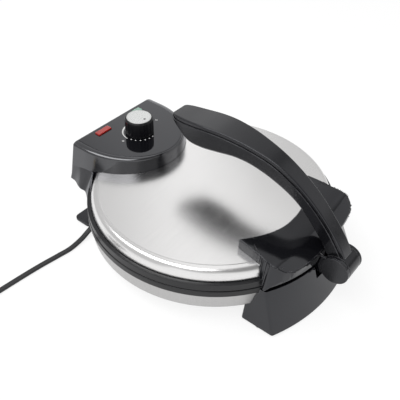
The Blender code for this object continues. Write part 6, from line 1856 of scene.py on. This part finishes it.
class ROTI_OT_housing(RotiMakerOperator, bpy.types.Operator):
    """Build the lid's ring and the control housing"""

    bl_idname = "roti.housing"
    bl_label = "Lid ring and housing"

    def execute(self, context):
        make_lid_frame(context.scene.roti_sizes)
        return {"FINISHED"}


class ROTI_OT_controls(RotiMakerOperator, bpy.types.Operator):
    """Build the control panel, its marks, the lamp windows and the knob"""

    bl_idname = "roti.controls"
    bl_label = "Panel, lamps and knob"

    def execute(self, context):
        make_panel()
        make_lenses()
        make_knob(context.scene.roti_sizes)
        return {"FINISHED"}


class ROTI_OT_saddle(RotiMakerOperator, bpy.types.Operator):
    """Build the saddle over the lid's front rim"""

    bl_idname = "roti.saddle"
    bl_label = "Saddle"

    def execute(self, context):
        make_saddle()
        return {"FINISHED"}


class ROTI_OT_lever(RotiMakerOperator, bpy.types.Operator):
    """Build the press lever and its pivot's caps"""

    bl_idname = "roti.lever"
    bl_label = "Press lever"

    def execute(self, context):
        make_lever()
        make_pivot_caps()
        return {"FINISHED"}


class ROTI_OT_studio(RotiMakerOperator, bpy.types.Operator):
    """Build the floor, the surroundings and the lights"""

    bl_idname = "roti.studio"
    bl_label = "Studio"

    def execute(self, context):
        make_studio(context.scene.roti_studio)
        return {"FINISHED"}


OPERATORS = (
    ROTI_OT_camera, ROTI_OT_finishes, ROTI_OT_cord, ROTI_OT_base, ROTI_OT_feet, ROTI_OT_cover,
    ROTI_OT_housing, ROTI_OT_controls, ROTI_OT_saddle, ROTI_OT_lever, ROTI_OT_studio,
)


class ROTI_PT_pieces(bpy.types.Panel):
    """Lists the settings and the pieces"""

    bl_idname = "ROTI_PT_pieces"
    bl_label = "Roti maker"
    bl_space_type = "VIEW_3D"
    bl_region_type = "UI"
    bl_category = "Roti maker"

    def draw(self, context):
        for settings in (context.scene.roti_sizes, context.scene.roti_finish, context.scene.roti_studio):
            box = self.layout.box()
            for label in settings.__annotations__:
                box.prop(settings, label)
        for operator in OPERATORS:
            self.layout.operator(operator.bl_idname)


CLASSES = (RotiMakerSizes, RotiMakerFinish, RotiMakerStudio, *OPERATORS, ROTI_PT_pieces)


def register():
    for kind in CLASSES:
        bpy.utils.register_class(kind)
    bpy.types.Scene.roti_sizes = PointerProperty(type=RotiMakerSizes)
    bpy.types.Scene.roti_finish = PointerProperty(type=RotiMakerFinish)
    bpy.types.Scene.roti_studio = PointerProperty(type=RotiMakerStudio)


def unregister():
    del bpy.types.Scene.roti_studio
    del bpy.types.Scene.roti_finish
    del bpy.types.Scene.roti_sizes
    for kind in reversed(CLASSES):
        bpy.utils.unregister_class(kind)


def main():
    register()
    bpy.ops.roti.camera()
    bpy.ops.roti.finishes()
    bpy.ops.roti.cord()
    bpy.ops.roti.base()
    bpy.ops.roti.feet()
    bpy.ops.roti.cover()
    bpy.ops.roti.housing()
    bpy.ops.roti.controls()
    bpy.ops.roti.saddle()
    bpy.ops.roti.lever()
    bpy.ops.roti.studio()


if __name__ == "__main__":
    main()
